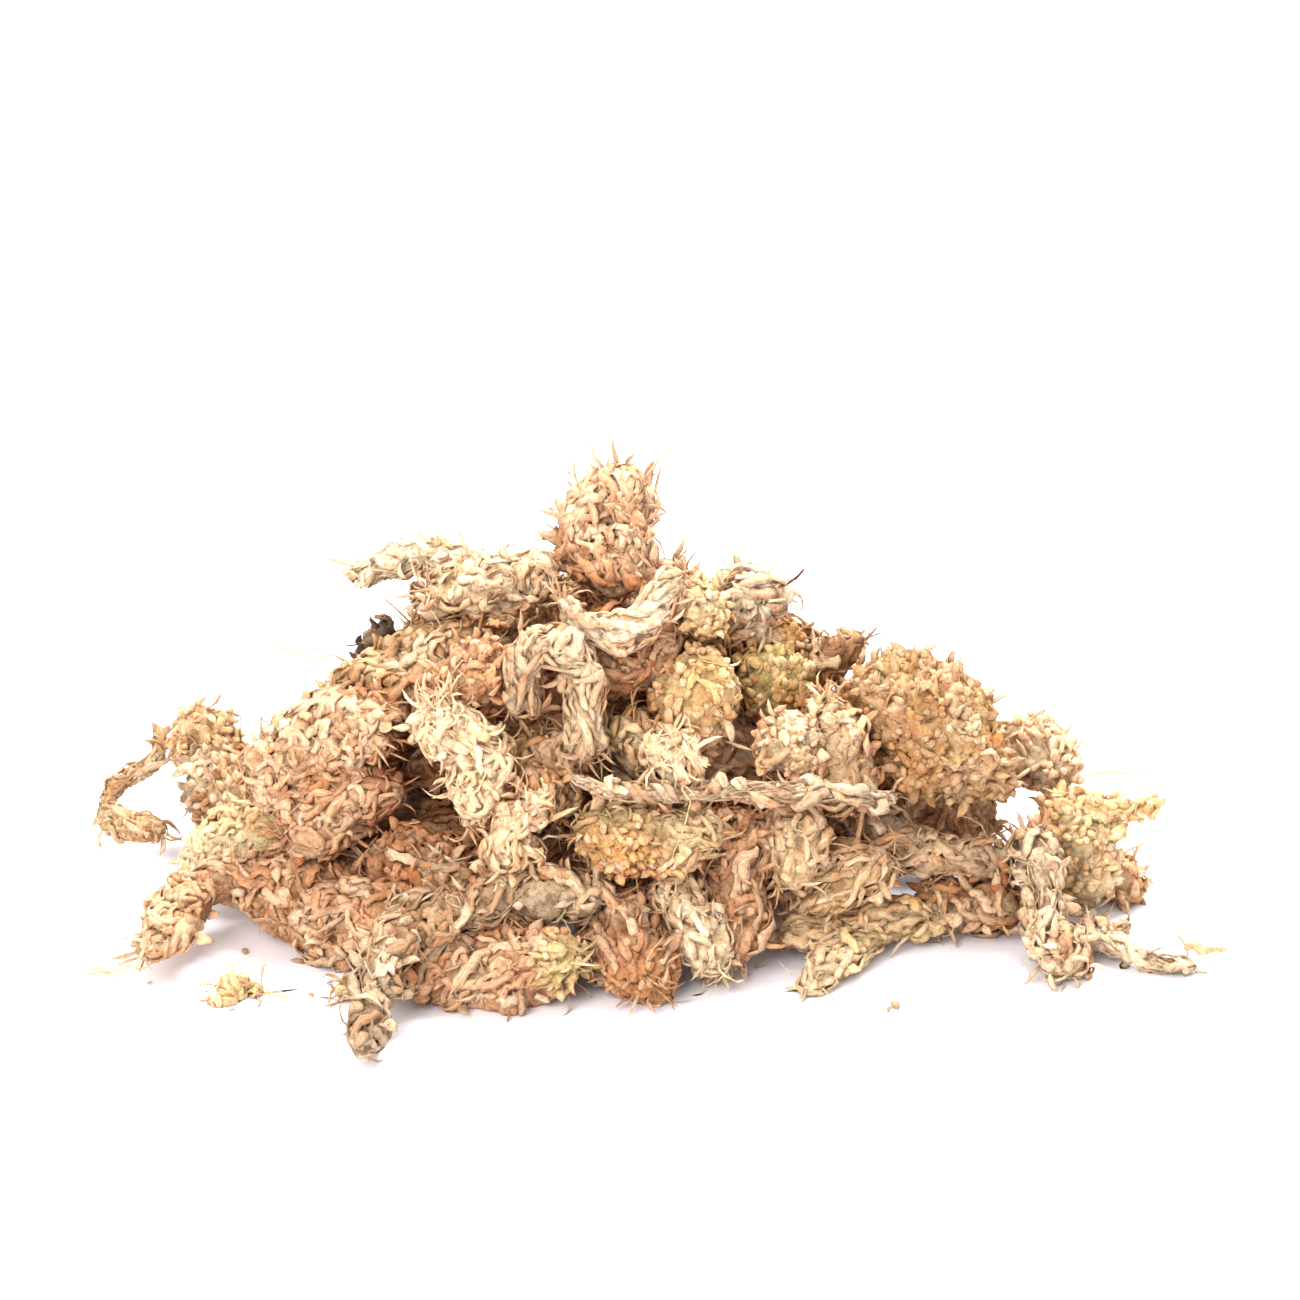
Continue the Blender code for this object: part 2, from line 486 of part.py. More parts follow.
def make_lattice(strand):
    """A sphere's rings and columns become the rows of scales: every second corner is a tip."""
    kind = KINDS[strand.kind]
    strand.run = lengths_along(strand.axis)
    strand.rings = max(3, int(round(strand.run[-1] / kind.ring_step)))
    girth = 2 * math.pi * np.mean(strand.radius)
    pairs = int(np.clip(round(girth / kind.scale_width / 2), FEWEST_PAIRS, MOST_PAIRS))
    strand.sides = 2 * pairs
    strand.mesh = bmesh.new()
    bmesh.ops.create_uvsphere(strand.mesh, u_segments=strand.sides, v_segments=strand.rings + 1, radius=1)
    place = np.array([vertex.co[:] for vertex in strand.mesh.verts])
    height = np.arccos(np.clip(-place[:, 2], -1, 1)) / math.pi
    strand.ring = np.rint(height * (strand.rings + 1)).astype(int) - 1
    turn = np.arctan2(place[:, 1], place[:, 0]) - math.pi / 2
    strand.column = np.rint(turn / (2 * math.pi / strand.sides)).astype(int) % strand.sides
    strand.pole = (strand.ring < 0) | (strand.ring >= strand.rings)
    strand.tip = ((strand.ring + strand.column) % 2 == 0) & ~strand.pole
    strand.end = np.where(strand.ring < 0, -1, 1)


def place_along(strand, rng):
    """Where each surface point lies along its strand and round it."""
    kind = KINDS[strand.kind]
    total = strand.run[-1]
    cap = min(CAP_RINGS * kind.ring_step, total / 5)
    step = (total - 2 * cap) / (strand.rings - 1)
    count = len(strand.ring)
    along = cap + np.clip(strand.ring, 0, strand.rings - 1) * step
    along += np.where(strand.tip, kind.lean * step, 0)
    along += rng.uniform(-ALONG_JITTER, ALONG_JITTER, count) * step
    along = np.clip(along, POLE_SHARE * cap, total - POLE_SHARE * cap)
    poles = np.where(strand.ring < 0, POLE_SHARE * cap, total - POLE_SHARE * cap)
    strand.along = np.where(strand.pole, poles, along)
    strand.beyond = np.where(strand.pole, POLE_REACH * cap, 0.0)
    width = 2 * math.pi / strand.sides
    strand.round = strand.column * width
    strand.round += np.where(strand.tip, TIP_JITTER, NOTCH_JITTER) * rng.uniform(-1, 1, count) * width


def stand_out(strand, rng):
    """How far each surface point stands out from the axis."""
    kind = KINDS[strand.kind]
    count = len(strand.ring)
    full = np.interp(strand.along, strand.run, strand.radius)
    full = full * (1 + WAVE_HEIGHT * np.sin(strand.along / WAVE_LENGTH + rng.uniform(0, 6)))
    oval = 1 + OVALITY * np.cos(2 * (strand.round - rng.uniform(0, 6)))
    tips = TIP_HEIGHT + kind.vary * rng.uniform(-1, 1, count)
    notches = 1 - kind.notch + NOTCH_VARY * kind.vary * rng.uniform(-1, 1, count)
    height = np.where(strand.tip, tips, notches)
    ends = np.minimum(strand.along, strand.run[-1] - strand.along) / np.maximum(full, 0.5)
    taper = np.where(ends < 1, np.sqrt(np.clip(ends * (2 - ends), END_HEIGHT, 1)), 1)
    strand.out = np.where(strand.pole, 0, full * oval * height * taper)
    strand.full = np.maximum(full, 0.4)


def set_frames(strand):
    """Point of the axis, way out and way forward for each surface point."""
    tangent, side, across = frames_along(strand.axis)
    strand.centre = read_along(strand.run, strand.axis, strand.along)
    forward = read_along(strand.run, tangent, strand.along)
    right = read_along(strand.run, side, strand.along)
    up = read_along(strand.run, across, strand.along)
    strand.outward = np.cos(strand.round)[:, None] * right + np.sin(strand.round)[:, None] * up
    strand.outward /= np.linalg.norm(strand.outward, axis=1)[:, None]
    strand.forward = forward / np.linalg.norm(forward, axis=1)[:, None]


def hold_bends(strand):
    """On the inner side of a bend the scales stop short of the bend's centre."""
    tangent = frames_along(strand.axis)[0]
    curve = np.gradient(tangent, strand.run, axis=0)
    inward = np.einsum("ij,ij->i", read_along(strand.run, curve, strand.along), strand.outward)
    limit = np.where(inward > TINY, BEND_SHARE / np.maximum(inward, TINY), np.inf)
    strand.out = np.minimum(strand.out, limit)


def split_scales(strand):
    """Splits each face across from notch to notch, so that four triangles make one scale."""
    for face in list(strand.mesh.faces):
        if len(face.verts) != 4:
            continue
        notches = [vertex for vertex in face.verts if not strand.tip[vertex.index]]
        if len(notches) == 2:
            bmesh.utils.face_split(face, notches[0], notches[1])
    bmesh.ops.triangulate(strand.mesh, faces=strand.mesh.faces[:])
    strand.mesh.verts.ensure_lookup_table()
    strand.faces = [[vertex.index for vertex in face.verts] for face in strand.mesh.faces]


def lay_scales(strand, rng):
    """Covers a settled strand with its scales."""
    make_lattice(strand)
    place_along(strand, rng)
    stand_out(strand, rng)
    set_frames(strand)
    hold_bends(strand)
    split_scales(strand)


def surface(strand, skin=0.0):
    """Surface points of a strand, moved out by a skin where crossings are looked for."""
    out = strand.out + skin * ~strand.pole
    beyond = (strand.beyond + skin * strand.pole) * strand.end
    return strand.centre + strand.outward * out[:, None] + strand.forward * beyond[:, None]


def neighbours_of(strand, strands):
    """Axis points and radii of the other nodes' strands near this one."""
    reach = strand.radius.max() * CELL_REACH
    low = strand.axis.min(axis=0) - reach
    high = strand.axis.max(axis=0) + reach
    points = []
    radii = []
    for other in strands:
        if other.node == strand.node:
            continue
        fine = np.arange(0, other.run[-1], STEP_ALONG / 2)
        samples = read_along(other.run, other.axis, fine)
        radius = np.interp(fine, other.run, other.radius)
        near = np.all((samples > low - radius[:, None]) & (samples < high + radius[:, None]), axis=1)
        points.append(samples[near])
        radii.append(radius[near])
    return np.vstack(points), np.concatenate(radii)


def draw_in_to_cell(strand, strands):
    """Each surface point stays nearer to its own strand than to any other, less half the gap."""
    points, radii = neighbours_of(strand, strands)
    if len(points) == 0:
        return

    def slack(out):
        place = strand.centre + strand.outward * out[:, None]
        spread = np.linalg.norm(place[:, None] - points[None], axis=2)
        return (spread - radii).min(axis=1) - (out - strand.full) - NEIGHBOUR_GAP

    free = slack(strand.out) >= 0
    least = np.zeros(len(strand.out))
    most = strand.out.copy()
    for _ in range(CELL_TURNS - 1):
        trial = (least + most) / 2
        fits = slack(trial) >= 0
        least = np.where(fits, trial, least)
        most = np.where(fits, most, trial)
    thinnest = THINNEST * np.minimum(strand.full, strand.out)
    strand.out = np.where(free, strand.out, np.maximum(least, thinnest))


def draw_in_to_ground(strand):
    """Scales that would reach below the ground end flat on it."""
    strand.centre[:, 2] = np.maximum(strand.centre[:, 2], LOWEST_AXIS)
    height = strand.centre[:, 2]
    drop = -strand.outward[:, 2]
    deepest = np.where(drop > TINY, height / np.maximum(drop, TINY), np.inf)
    strand.out = np.minimum(strand.out, deepest)
    dive = -(strand.forward[:, 2] * strand.end)
    reach = np.where(dive > TINY, height / np.maximum(dive, TINY), np.inf)
    strand.beyond = np.minimum(strand.beyond, np.maximum(reach, LEAST_BEYOND))


def tree_of(strand):
    """Search tree of a strand's faces with their skin on."""
    return BVHTree.FromPolygons(surface(strand, SKIN).tolist(), strand.faces, all_triangles=True)


def near_pairs(strands):
    """Pairs of strands of different nodes whose boxes meet."""
    lows = [surface(strand).min(axis=0) - 1 for strand in strands]
    highs = [surface(strand).max(axis=0) + 1 for strand in strands]
    pairs = []
    for i, first in enumerate(strands):
        for j in range(i + 1, len(strands)):
            meet = np.all(lows[i] < highs[j]) and np.all(lows[j] < highs[i])
            if meet and first.node != strands[j].node:
                pairs.append((i, j))
    return pairs


def crossing_corners(strands, trees, pairs):
    """Corners of the faces that cross a neighbour, or that cross their own strand."""
    crossed = {}
    for i, j in pairs:
        for one, two in trees[i].overlap(trees[j]):
            crossed.setdefault(i, set()).update(strands[i].faces[one])
            crossed.setdefault(j, set()).update(strands[j].faces[two])
    for i, strand in enumerate(strands):
        for one, two in trees[i].overlap(trees[i]):
            if one < two and not set(strand.faces[one]) & set(strand.faces[two]):
                crossed.setdefault(i, set()).update(strand.faces[one] + strand.faces[two])
    return crossed


def draw_in_crossings(strands):
    """Draws in the faces that still cross a neighbour, until none does."""
    trees = [tree_of(strand) for strand in strands]
    pairs = near_pairs(strands)
    for _ in range(CROSSING_TURNS):
        crossed = crossing_corners(strands, trees, pairs)
        if not crossed:
            return
        for i, corners in crossed.items():
            corners = np.array(sorted(corners))
            strands[i].out[corners] = np.maximum(DRAW_IN * strands[i].out[corners], LEAST_OUT)
            strands[i].beyond[corners] *= DRAW_IN
            trees[i] = tree_of(strands[i])
    print("crossings left:", len(crossed))


def node_tree(strands, name):
    """Corners of a node's surface, and a search tree of its faces."""
    corners = []
    faces = []
    for strand in strands:
        if strand.node == name:
            faces += [[len(corners) + corner for corner in face] for face in strand.faces]
            corners += surface(strand).tolist()
    return corners, BVHTree.FromPolygons(corners, faces, all_triangles=True)


def smallest_gap(corners, tree):
    """Smallest gap from some corners to a surface, with the way across, or None."""
    best = None
    for corner in corners:
        hit, _, _, gap = tree.find_nearest(corner, FAR_GAP)
        if hit is not None and (best is None or gap < best[0]):
            best = (gap, np.array(hit) - np.array(corner))
    return best


def node_gaps(strands, names):
    """Smallest gap from each node to each other node near it, and the way across."""
    nodes = {name: node_tree(strands, name) for name in names}
    lows = {name: np.min(nodes[name][0], axis=0) for name in names}
    highs = {name: np.max(nodes[name][0], axis=0) for name in names}
    gaps = {}
    for one in names:
        for two in names:
            far = np.any(lows[two] > highs[one] + FAR_GAP) or np.any(highs[two] < lows[one] - FAR_GAP)
            if one == two or far:
                continue
            best = smallest_gap(nodes[one][0], nodes[two][1])
            if best is None:
                continue
            gap, way = best
            if (one, two) not in gaps or gap < gaps[one, two][0]:
                gaps[one, two] = (gap, way)
                gaps[two, one] = (gap, -way)
    return gaps


def touching_groups(names, gaps):
    """Nodes sorted into groups that lie on each other, always in the order of their names."""
    left = list(names)
    groups = []
    while left:
        group = [left.pop(0)]
        for here in group:
            near = [other for other in left if (here, other) in gaps and gaps[here, other][0] <= SEATED]
            left = [other for other in left if other not in near]
            group += near
        groups.append(group)
    return groups


def seat_groups(strands):
    """Moves each group of strands that lies clear of the heap onto its nearest neighbour."""
    names = sorted({strand.node for strand in strands if not is_fallen(strand.node)})
    for _ in range(SEAT_ROUNDS):
        gaps = node_gaps(strands, names)
        groups = touching_groups(names, gaps)
        if len(groups) == 1:
            return
        largest = max(groups, key=len)
        for group in groups:
            links = [gaps[pair] for pair in gaps if pair[0] in group and pair[1] not in group]
            if group is largest or not links:
                continue
            gap, way = min(links, key=lambda link: link[0])
            for strand in strands:
                if strand.node in group:
                    strand.centre = strand.centre + way * (gap - SEAT_CLEARANCE) / gap
        for strand in strands:
            draw_in_to_ground(strand)
        draw_in_crossings(strands)


def rest_on_ground(strands):
    """Lowers the heap, and each fallen scrap by itself, so that the lowest scales lie flat."""
    heap = [strand for strand in strands if not is_fallen(strand.node)]
    scraps = [[strand] for strand in strands if is_fallen(strand.node)]
    for group in [heap] + scraps:
        lowest = min(surface(strand)[:, 2].min() for strand in group)
        for strand in group:
            strand.centre = strand.centre - np.array((0.0, 0.0, lowest + PRESSED))
            draw_in_to_ground(strand)


def middle_of(strands):
    """Point of the ground under the middle of the whole heap's box."""
    every = np.vstack([surface(strand) for strand in strands])
    middle = (every.min(axis=0) + every.max(axis=0)) / 2
    return middle * np.array((1, 1, 0))


def mesh_object(strand, origin, collection):
    """Object of one strand, in metres round the heap's origin."""
    places = (surface(strand) - origin) * MM
    for vertex, place in zip(strand.mesh.verts, places):
        vertex.co = place
    mesh = bpy.data.meshes.new(strand.node)
    strand.mesh.to_mesh(mesh)
    strand.mesh.free()
    piece = bpy.data.objects.new(strand.node, mesh)
    collection.objects.link(piece)
    return piece


def shells_of(mesh):
    """Groups of vertices that hang together."""
    left = set(mesh.verts)
    shells = []
    while left:
        stack = [left.pop()]
        shell = set(stack)
        while stack:
            for edge in stack.pop().link_edges:
                new = left.intersection(edge.verts)
                left -= new
                shell |= new
                stack.extend(new)
        shells.append(shell)
    return shells


def keep_largest_shell(piece):
    """Removes pockets and scraps that joining branches sealed off."""
    mesh = bmesh.new()
    mesh.from_mesh(piece.data)
    largest = max(shells_of(mesh), key=len)
    bmesh.ops.delete(mesh, geom=[vertex for vertex in mesh.verts if vertex not in largest], context="VERTS")
    bmesh.ops.triangulate(mesh, faces=mesh.faces[:])
    mesh.to_mesh(piece.data)
    mesh.free()


def join_branches(pieces, collection):
    """One closed solid from the branches of a node."""
    first = pieces[0]
    grown = bpy.data.collections.new("branches")
    bpy.context.scene.collection.children.link(grown)
    for piece in pieces[1:]:
        collection.objects.unlink(piece)
        grown.objects.link(piece)
    union = first.modifiers.new("join", "BOOLEAN")
    union.operation = "UNION"
    union.operand_type = "COLLECTION"
    union.collection = grown
    union.solver = "MANIFOLD"
    bpy.context.view_layer.update()
    evaluated = first.evaluated_get(bpy.context.evaluated_depsgraph_get())
    joined = bpy.data.meshes.new_from_object(evaluated)
    first.modifiers.remove(union)
    first.data = joined
    for piece in pieces[1:]:
        bpy.data.objects.remove(piece, do_unlink=True)
    bpy.data.collections.remove(grown)
    keep_largest_shell(first)


def material_for(colour):
    """Dry leaf material of one colour, made once."""
    material = bpy.data.materials.get("moss_" + colour)
    if material is None:
        material = bpy.data.materials.new("moss_" + colour)
        material.use_nodes = True
        shader = material.node_tree.nodes["Principled BSDF"]
        shader.inputs["Base Color"].default_value = (*COLOURS[colour], 1.0)
        shader.inputs["Roughness"].default_value = ROUGHNESS
        shader.inputs["Metallic"].default_value = 0.0
    return material


def clear_scene():
    """Takes every object out of the file that is open."""
    for item in list(bpy.data.objects):
        bpy.data.objects.remove(item, do_unlink=True)


def heap_of_strands():
    """All strands, settled, covered with scales and seated on each other and on the ground."""
    rng = np.random.default_rng(SEED)
    strands = [Strand(row) for row in STRANDS]
    tie_branches(strands)
    settle(strands)
    for strand in strands:
        lay_scales(strand, rng)
    for strand in strands:
        draw_in_to_cell(strand, strands)
        draw_in_to_ground(strand)
    draw_in_crossings(strands)
    seat_groups(strands)
    rest_on_ground(strands)
    return strands


def main():
    clear_scene()
    strands = heap_of_strands()
    origin = middle_of(strands)
    collection = bpy.data.collections.new("sphagnum_moss_clump")
    bpy.context.scene.collection.children.link(collection)
    nodes = {}
    for strand in strands:
        nodes.setdefault(strand.node, []).append(mesh_object(strand, origin, collection))
    for pieces in nodes.values():
        if len(pieces) > 1:
            join_branches(pieces, collection)
    for name, pieces in nodes.items():
        first_row = next(strand for strand in strands if strand.node == name)
        pieces[0].data.materials.clear()
        pieces[0].data.materials.append(material_for(first_row.colour))


main()
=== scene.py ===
"""Looks of the sphagnum moss clump: crumpled strands under branchlets, buds, flakes and threads.

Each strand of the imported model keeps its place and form. Its body is made finer and folded along the
way its leaves lie, and small closed shapes are laid on it: some follow the surface for many
millimetres, others stand up from it. Lengths are in millimetres until the vertices are written.
"""
import itertools
import json
import math
from collections import namedtuple

import bpy
import numpy as np
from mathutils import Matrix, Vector
from mathutils.bvhtree import BVHTree


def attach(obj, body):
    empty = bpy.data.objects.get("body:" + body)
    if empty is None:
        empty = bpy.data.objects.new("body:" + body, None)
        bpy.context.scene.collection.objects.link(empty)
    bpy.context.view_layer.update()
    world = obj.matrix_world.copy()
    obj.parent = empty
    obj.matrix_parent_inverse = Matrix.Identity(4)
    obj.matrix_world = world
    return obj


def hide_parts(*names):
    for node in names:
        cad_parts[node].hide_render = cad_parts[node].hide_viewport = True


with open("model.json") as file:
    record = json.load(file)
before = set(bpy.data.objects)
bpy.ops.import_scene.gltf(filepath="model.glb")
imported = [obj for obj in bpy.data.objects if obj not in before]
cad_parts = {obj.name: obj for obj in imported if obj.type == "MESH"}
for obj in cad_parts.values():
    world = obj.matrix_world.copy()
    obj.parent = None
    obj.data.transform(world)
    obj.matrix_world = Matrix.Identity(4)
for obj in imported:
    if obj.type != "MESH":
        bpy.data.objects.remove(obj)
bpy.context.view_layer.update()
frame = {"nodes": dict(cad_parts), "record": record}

MM = 0.001
SEED = 11
FLOOR_GAP = 0.05          # lowest height of any corner

# Photographed view, in millimetres, and the size of its picture in pixels
CAMERA_TARGET = (1.2, 3.0, 48.9)
CAMERA_DISTANCE = 800.0
CAMERA_ELEVATION = 20.0
CAMERA_CLIP = 0.01        # metres
VIEW_WIDTH = 221.0
SENSOR_WIDTH = 36.0
PICTURE_WIDTH = 1300

# Softboxes, in metres and watts: place, size, power and colour. They face a point in the heap.
SOFTBOXES = {
    "softbox_top": ((0.12, 0.28, 0.75), 0.5, 13.5, (1.0, 0.99, 0.97)),
    "softbox_front": ((-0.35, -0.75, 0.55), 0.6, 10.0, (1.0, 0.985, 0.96)),
}
LIT_POINT = (0.0, 0.0, 0.03)
FLOOR_COLOUR = (0.90, 0.885, 0.94, 1.0)
FLOOR_ROUGHNESS = 0.7
FLOOR_HALF = 3.0

# Seeds of the noise fields
FOLD_FIELD = 1
GRAIN_FIELD = 5
LEAF_FIELD = 51
LUMP_FIELD = 61
SWAY_FIELD = 71
HASH_FACTORS = (73856093, 19349663, 83492791, 2654435)
HASH_MIX = 1274126177
HASH_TOP = 0xFFFF

# Body of a strand: size of its folds, how far they run along the strand, their height, size and
# height of the finer crumple, height of its lumps, how far the body stands out from the packed
# surface, and how often its faces are halved
Body = namedtuple("Body", "fold run height grain relief lump swell halvings")
BODIES = {
    "rope": Body(1.7, 5.0, 1.9, 1.1, 0.7, 3.4, 0.45, 2),
    "head": Body(1.9, 0.8, 1.5, 1.1, 0.6, 1.8, 0.25, 2),
    "curls": Body(1.8, 4.0, 2.0, 1.1, 0.7, 3.0, 0.25, 2),
    "broom": Body(1.5, 9.0, 1.7, 1.0, 0.5, 2.4, 0.45, 2),
    "flaky": Body(1.6, 6.0, 1.7, 1.0, 0.7, 2.6, 0.35, 2),
    "crust": Body(2.3, 0.6, 2.2, 1.1, 1.0, 3.4, 0.10, 2),
    "stem": Body(0.8, 11.0, 0.65, 0.7, 0.2, 0.5, -0.10, 3),
    "stub": Body(0.9, 11.0, 0.7, 0.7, 0.2, 0.4, -0.10, 3),
    "tuft": Body(1.5, 8.0, 1.9, 1.0, 0.7, 2.6, -0.80, 2),
}
KEEP_FORM = 0.65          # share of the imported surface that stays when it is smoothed
SWELL_REACH = 1.3         # a body swells most where it is hidden, and least where it is open
FOLD_LEVEL = 0.45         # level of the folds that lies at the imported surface
CREASE_SHADE_MIX = (0.68, 0.32)  # shares of the folds and of the crumple in how dark the painted crease shade is
# painted shade in the creases of a body: its strength and how steeply it grows with depth
CREASE_SHADE_STRENGTH = 0.80
CREASE_SHADE_CURVE = 1.3
LUMP_SIZE = 5.5
SWAY_SIZE = 13.0          # every strand bends a little, in a field that all of them share
SWAY = 2.2
SMEAR_STEPS = 7           # points over which folds are drawn out, and the contrast this gives back
SMEAR_SPREAD = 0.9
SMEAR_LIMIT = 2.2
PUFF_GAIN = 1.9           # steepness of the creases between ridges, and roundness of the ridges
PUFF_ROUND = 0.6

# Distance from a strand's end: a value out of reach, and most passes to spread it
FAR = 1e6
RUN_PASSES = 200
ALONG_PASSES = 5

# The last millimetres of a strand thin out and end in loose tips, so many for a square millimetre
FRAY = 6.0
FRAY_THIN = 1.3
FRAY_DENSITY = 0.24
FRAY_START = 0.15
FRAYED = ("rope", "curls", "broom", "flaky", "tuft", "stem")

# How open to the sky a place is: rays, their lift and length, and how far they lean outward
SKY_RAYS = 10
SKY_LIFT = 0.7
SKY_LENGTH = 45.0
SKY_LEAN = 1.05

# Shapes that follow the surface: length, width, thickness as a share of width, how much they
# wander, how high they are lifted off the surface, and waves of width and of height along them
Laid = namedtuple("Laid", "length width flat wander lift wave")
LAID = {
    "worm": Laid((4.0, 8.5), (1.0, 1.7), 0.75, 0.34, 0.28, 0.30),
    "strap": Laid((5.0, 12.0), (1.4, 2.7), 0.24, 0.26, 0.40, 0.50),
    "blade": Laid((8.0, 15.0), (1.1, 1.9), 0.30, 0.10, 0.40, 0.25),
    "fibre": Laid((8.0, 16.0), (0.35, 0.75), 0.60, 0.06, 0.22, 0.20),
    "thread": Laid((8.0, 22.0), (0.26, 0.50), 0.80, 0.75, 0.85, 1.10),
}
LAID_STEPS = 8
LAID_SIDES = 4
LAID_ENDS = (0.16, 0.94)  # stretch of half a wave that gives a shape's width along it
LAID_ROUND = 0.45
REACH = 6.0               # how far from a leaf the surface under it may be
LEAST_TURN = 0.08
LEAST_LIFT = 0.10
WAVE_LIFT = 0.4           # shares of a shape's wave that lift it and that it rises and falls by
WAVE_HEIGHT = 0.6
END_SINK = 0.25
HEIGHT_BEAT = 1.5         # beats of the waves along a shape, for each step
TURN_BEAT = 1.1
WIDTH_BEAT = 2.3
WIDTH_WAVE = 0.28
PHASE_SPREAD = 0.6
FOLLOW = 0.25             # how strongly a shape turns to the way of the leaves under it

# Shapes that stand from the surface: length, width, thickness as a share of width, sideways spread
# and tilt in degrees, bend in radians, and share that curls away from the strand
Standing = namedtuple("Standing", "length width flat spread tilt bend curling")
STANDING = {
    "bud": Standing((1.9, 3.0), (1.2, 1.9), 0.82, 55, (12, 50), (0.2, 0.9), 0.20),
    "curl": Standing((3.5, 8.0), (0.45, 0.9), 0.65, 60, (10, 50), (1.6, 3.8), 0.65),
    "flake": Standing((2.6, 5.6), (1.5, 2.9), 0.20, 50, (8, 48), (0.5, 1.9), 0.40),
    "grain": Standing((1.2, 2.1), (1.0, 1.8), 0.85, 90, (10, 60), (0.1, 0.6), 0.30),
    "spike": Standing((3.0, 7.5), (0.6, 1.3), 0.45, 45, (10, 55), (0.3, 1.8), 0.45),
    "wisp": Standing((5.0, 11.0), (0.25, 0.50), 0.80, 50, (12, 60), (0.6, 2.6), 0.50),
    "tip": Standing((3.0, 8.5), (0.35, 1.10), 0.35, 30, (2, 40), (0.4, 2.4), 0.40),
}
STANDING_STEPS = 5
STANDING_SIDES = 5
STANDING_RINGS = (0.60, 0.86, 1.00, 0.72, 0.25)
RING_SPREAD = (0.80, 1.20)
ROOT_DEPTH = 0.30
LEAST_BEND = 0.05
SIDE_BEND = 0.5

# Each shape is crumpled, and its stripes follow it: how fast they change along and round it, and
# how far apart two shapes lie in the stripes' field. Its tone has painted shade at its root, where it
# meets the strand, and grows lighter to its tip.
LEAF_GRAIN = 0.9
LEAF_ROUGH = 0.16
STRIPE_RUN = 0.35
STRIPE_TURN = 3.0
STRIPE_CHANCE = 40
BODY_STRIPE = 0.9
# painted shade at a shape's root, and painted light gained towards its tip
ROOT_SHADE_TONE = 0.82
TIP_LIGHT_GAIN = 0.26

# No leaf is made where less than this share of the sky is seen, nor low down on faces turned down
HIDDEN = 0.16
UNDERSIDE = -0.55
UNDERSIDE_HEIGHT = 9.0

# Which shapes cover each kind of strand, and how many stand on a square millimetre
COVERS = {
    "rope": ({"worm": 0.31, "strap": 0.27, "flake": 0.20, "thread": 0.06, "spike": 0.07, "bud": 0.06,
              "wisp": 0.03}, 0.205),
    "head": ({"bud": 0.70, "worm": 0.09, "flake": 0.16, "thread": 0.02, "spike": 0.02, "wisp": 0.01},
             0.36),
    "curls": ({"worm": 0.36, "curl": 0.22, "flake": 0.16, "thread": 0.07, "strap": 0.16, "wisp": 0.03},
              0.26),
    "broom": ({"blade": 0.36, "strap": 0.20, "flake": 0.14, "fibre": 0.21, "spike": 0.06, "wisp": 0.03},
              0.19),
    "flaky": ({"flake": 0.34, "strap": 0.32, "fibre": 0.19, "thread": 0.05, "spike": 0.07, "wisp": 0.03},
              0.22),
    "tuft": ({"strap": 0.30, "flake": 0.26, "fibre": 0.18, "spike": 0.14, "wisp": 0.05, "blade": 0.07},
             0.30),
    "crust": ({"grain": 0.58, "bud": 0.14, "flake": 0.28}, 0.38),
    "stem": ({"fibre": 0.70, "strap": 0.16, "flake": 0.14}, 0.26),
    "stub": ({"fibre": 1.00}, 0.40),
}
KIND_OF = {
    "centre_head": "head", "green_head": "head", "red_cluster": "head", "mid_buff": "head",
    "grey_curls": "head", "buff_cluster": "head", "pale_mass": "head", "bud_cluster": "head",
    "back_head": "head", "brown_top_head": "head", "top_right_buds": "head",
    "curly_tuft": "curls", "cream_twist": "curls", "crumb_curl": "curls", "cream_leg": "curls",
    "broom": "broom", "long_leaf": "broom", "shell_leaves": "broom", "white_v": "broom",
    "arch_strand": "broom", "back_low_right": "broom",
    "flaky_stem": "flaky", "top_left_pale": "flaky", "top_right_pale": "flaky",
    "curved_rope": "flaky", "back_mid_left": "flaky", "back_high_right": "flaky",
    "back_low_left": "flaky", "top_tuft": "tuft", "crust_block": "crust", "bark_bit": "crust",
    "mid_stem": "stem", "far_stem": "stem", "low_stem": "stem", "outer_twig": "stem",
    "woody_stub": "stub",
}

# Colours, as linear red, green and blue
CREAM = (0.93, 0.82, 0.61)
ORANGE = (0.72, 0.36, 0.13)
RUST = (0.46, 0.20, 0.08)
GREY = (0.41, 0.30, 0.21)
# dark red-brown colour painted into a body's creases as shade
CREASE_SHADE_COLOUR = (0.19, 0.06, 0.015)
GREEN_YELLOW = (0.66, 0.60, 0.28)

# Stretches of another colour on every strand: size of the field that picks them, its seed, gain and
# threshold, and how strong the colour gets
Stretch = namedtuple("Stretch", "size seed gain threshold strength colour")
STRETCHES = (
    Stretch(6.0, 21, 2.4, 1.15, 0.50, CREAM),
    Stretch(5.0, 27, 2.4, 1.20, 0.40, ORANGE),
    Stretch(4.0, 33, 2.6, 1.55, 0.22, GREY),
    Stretch(6.5, 39, 2.6, 1.60, 0.45, RUST),
)

# Tones of single leaves: brightness, how far they may pale, the share that is rusty and how much,
# a warm tint on all, and the painted shade, darker and redder, deep in the heap
LEAF_BRIGHTNESS = (0.84, 1.18)
LEAF_PALENESS = 0.70
RUSTY_SHARE = 0.12
RUSTINESS = (0.10, 0.45)
WARMTH = (1.07, 1.03, 1.00)
SHADE = 0.42
SHADE_TINT = (0.55, 1.2, 1.6)
SHADE_CURVE = 1.5
# painted shade on the body: its tone where no sky is seen, and what openness adds to it
BODY_SKY_SHADE = (0.55, 0.45)
TONE_LIMITS = (0.01, 0.98)

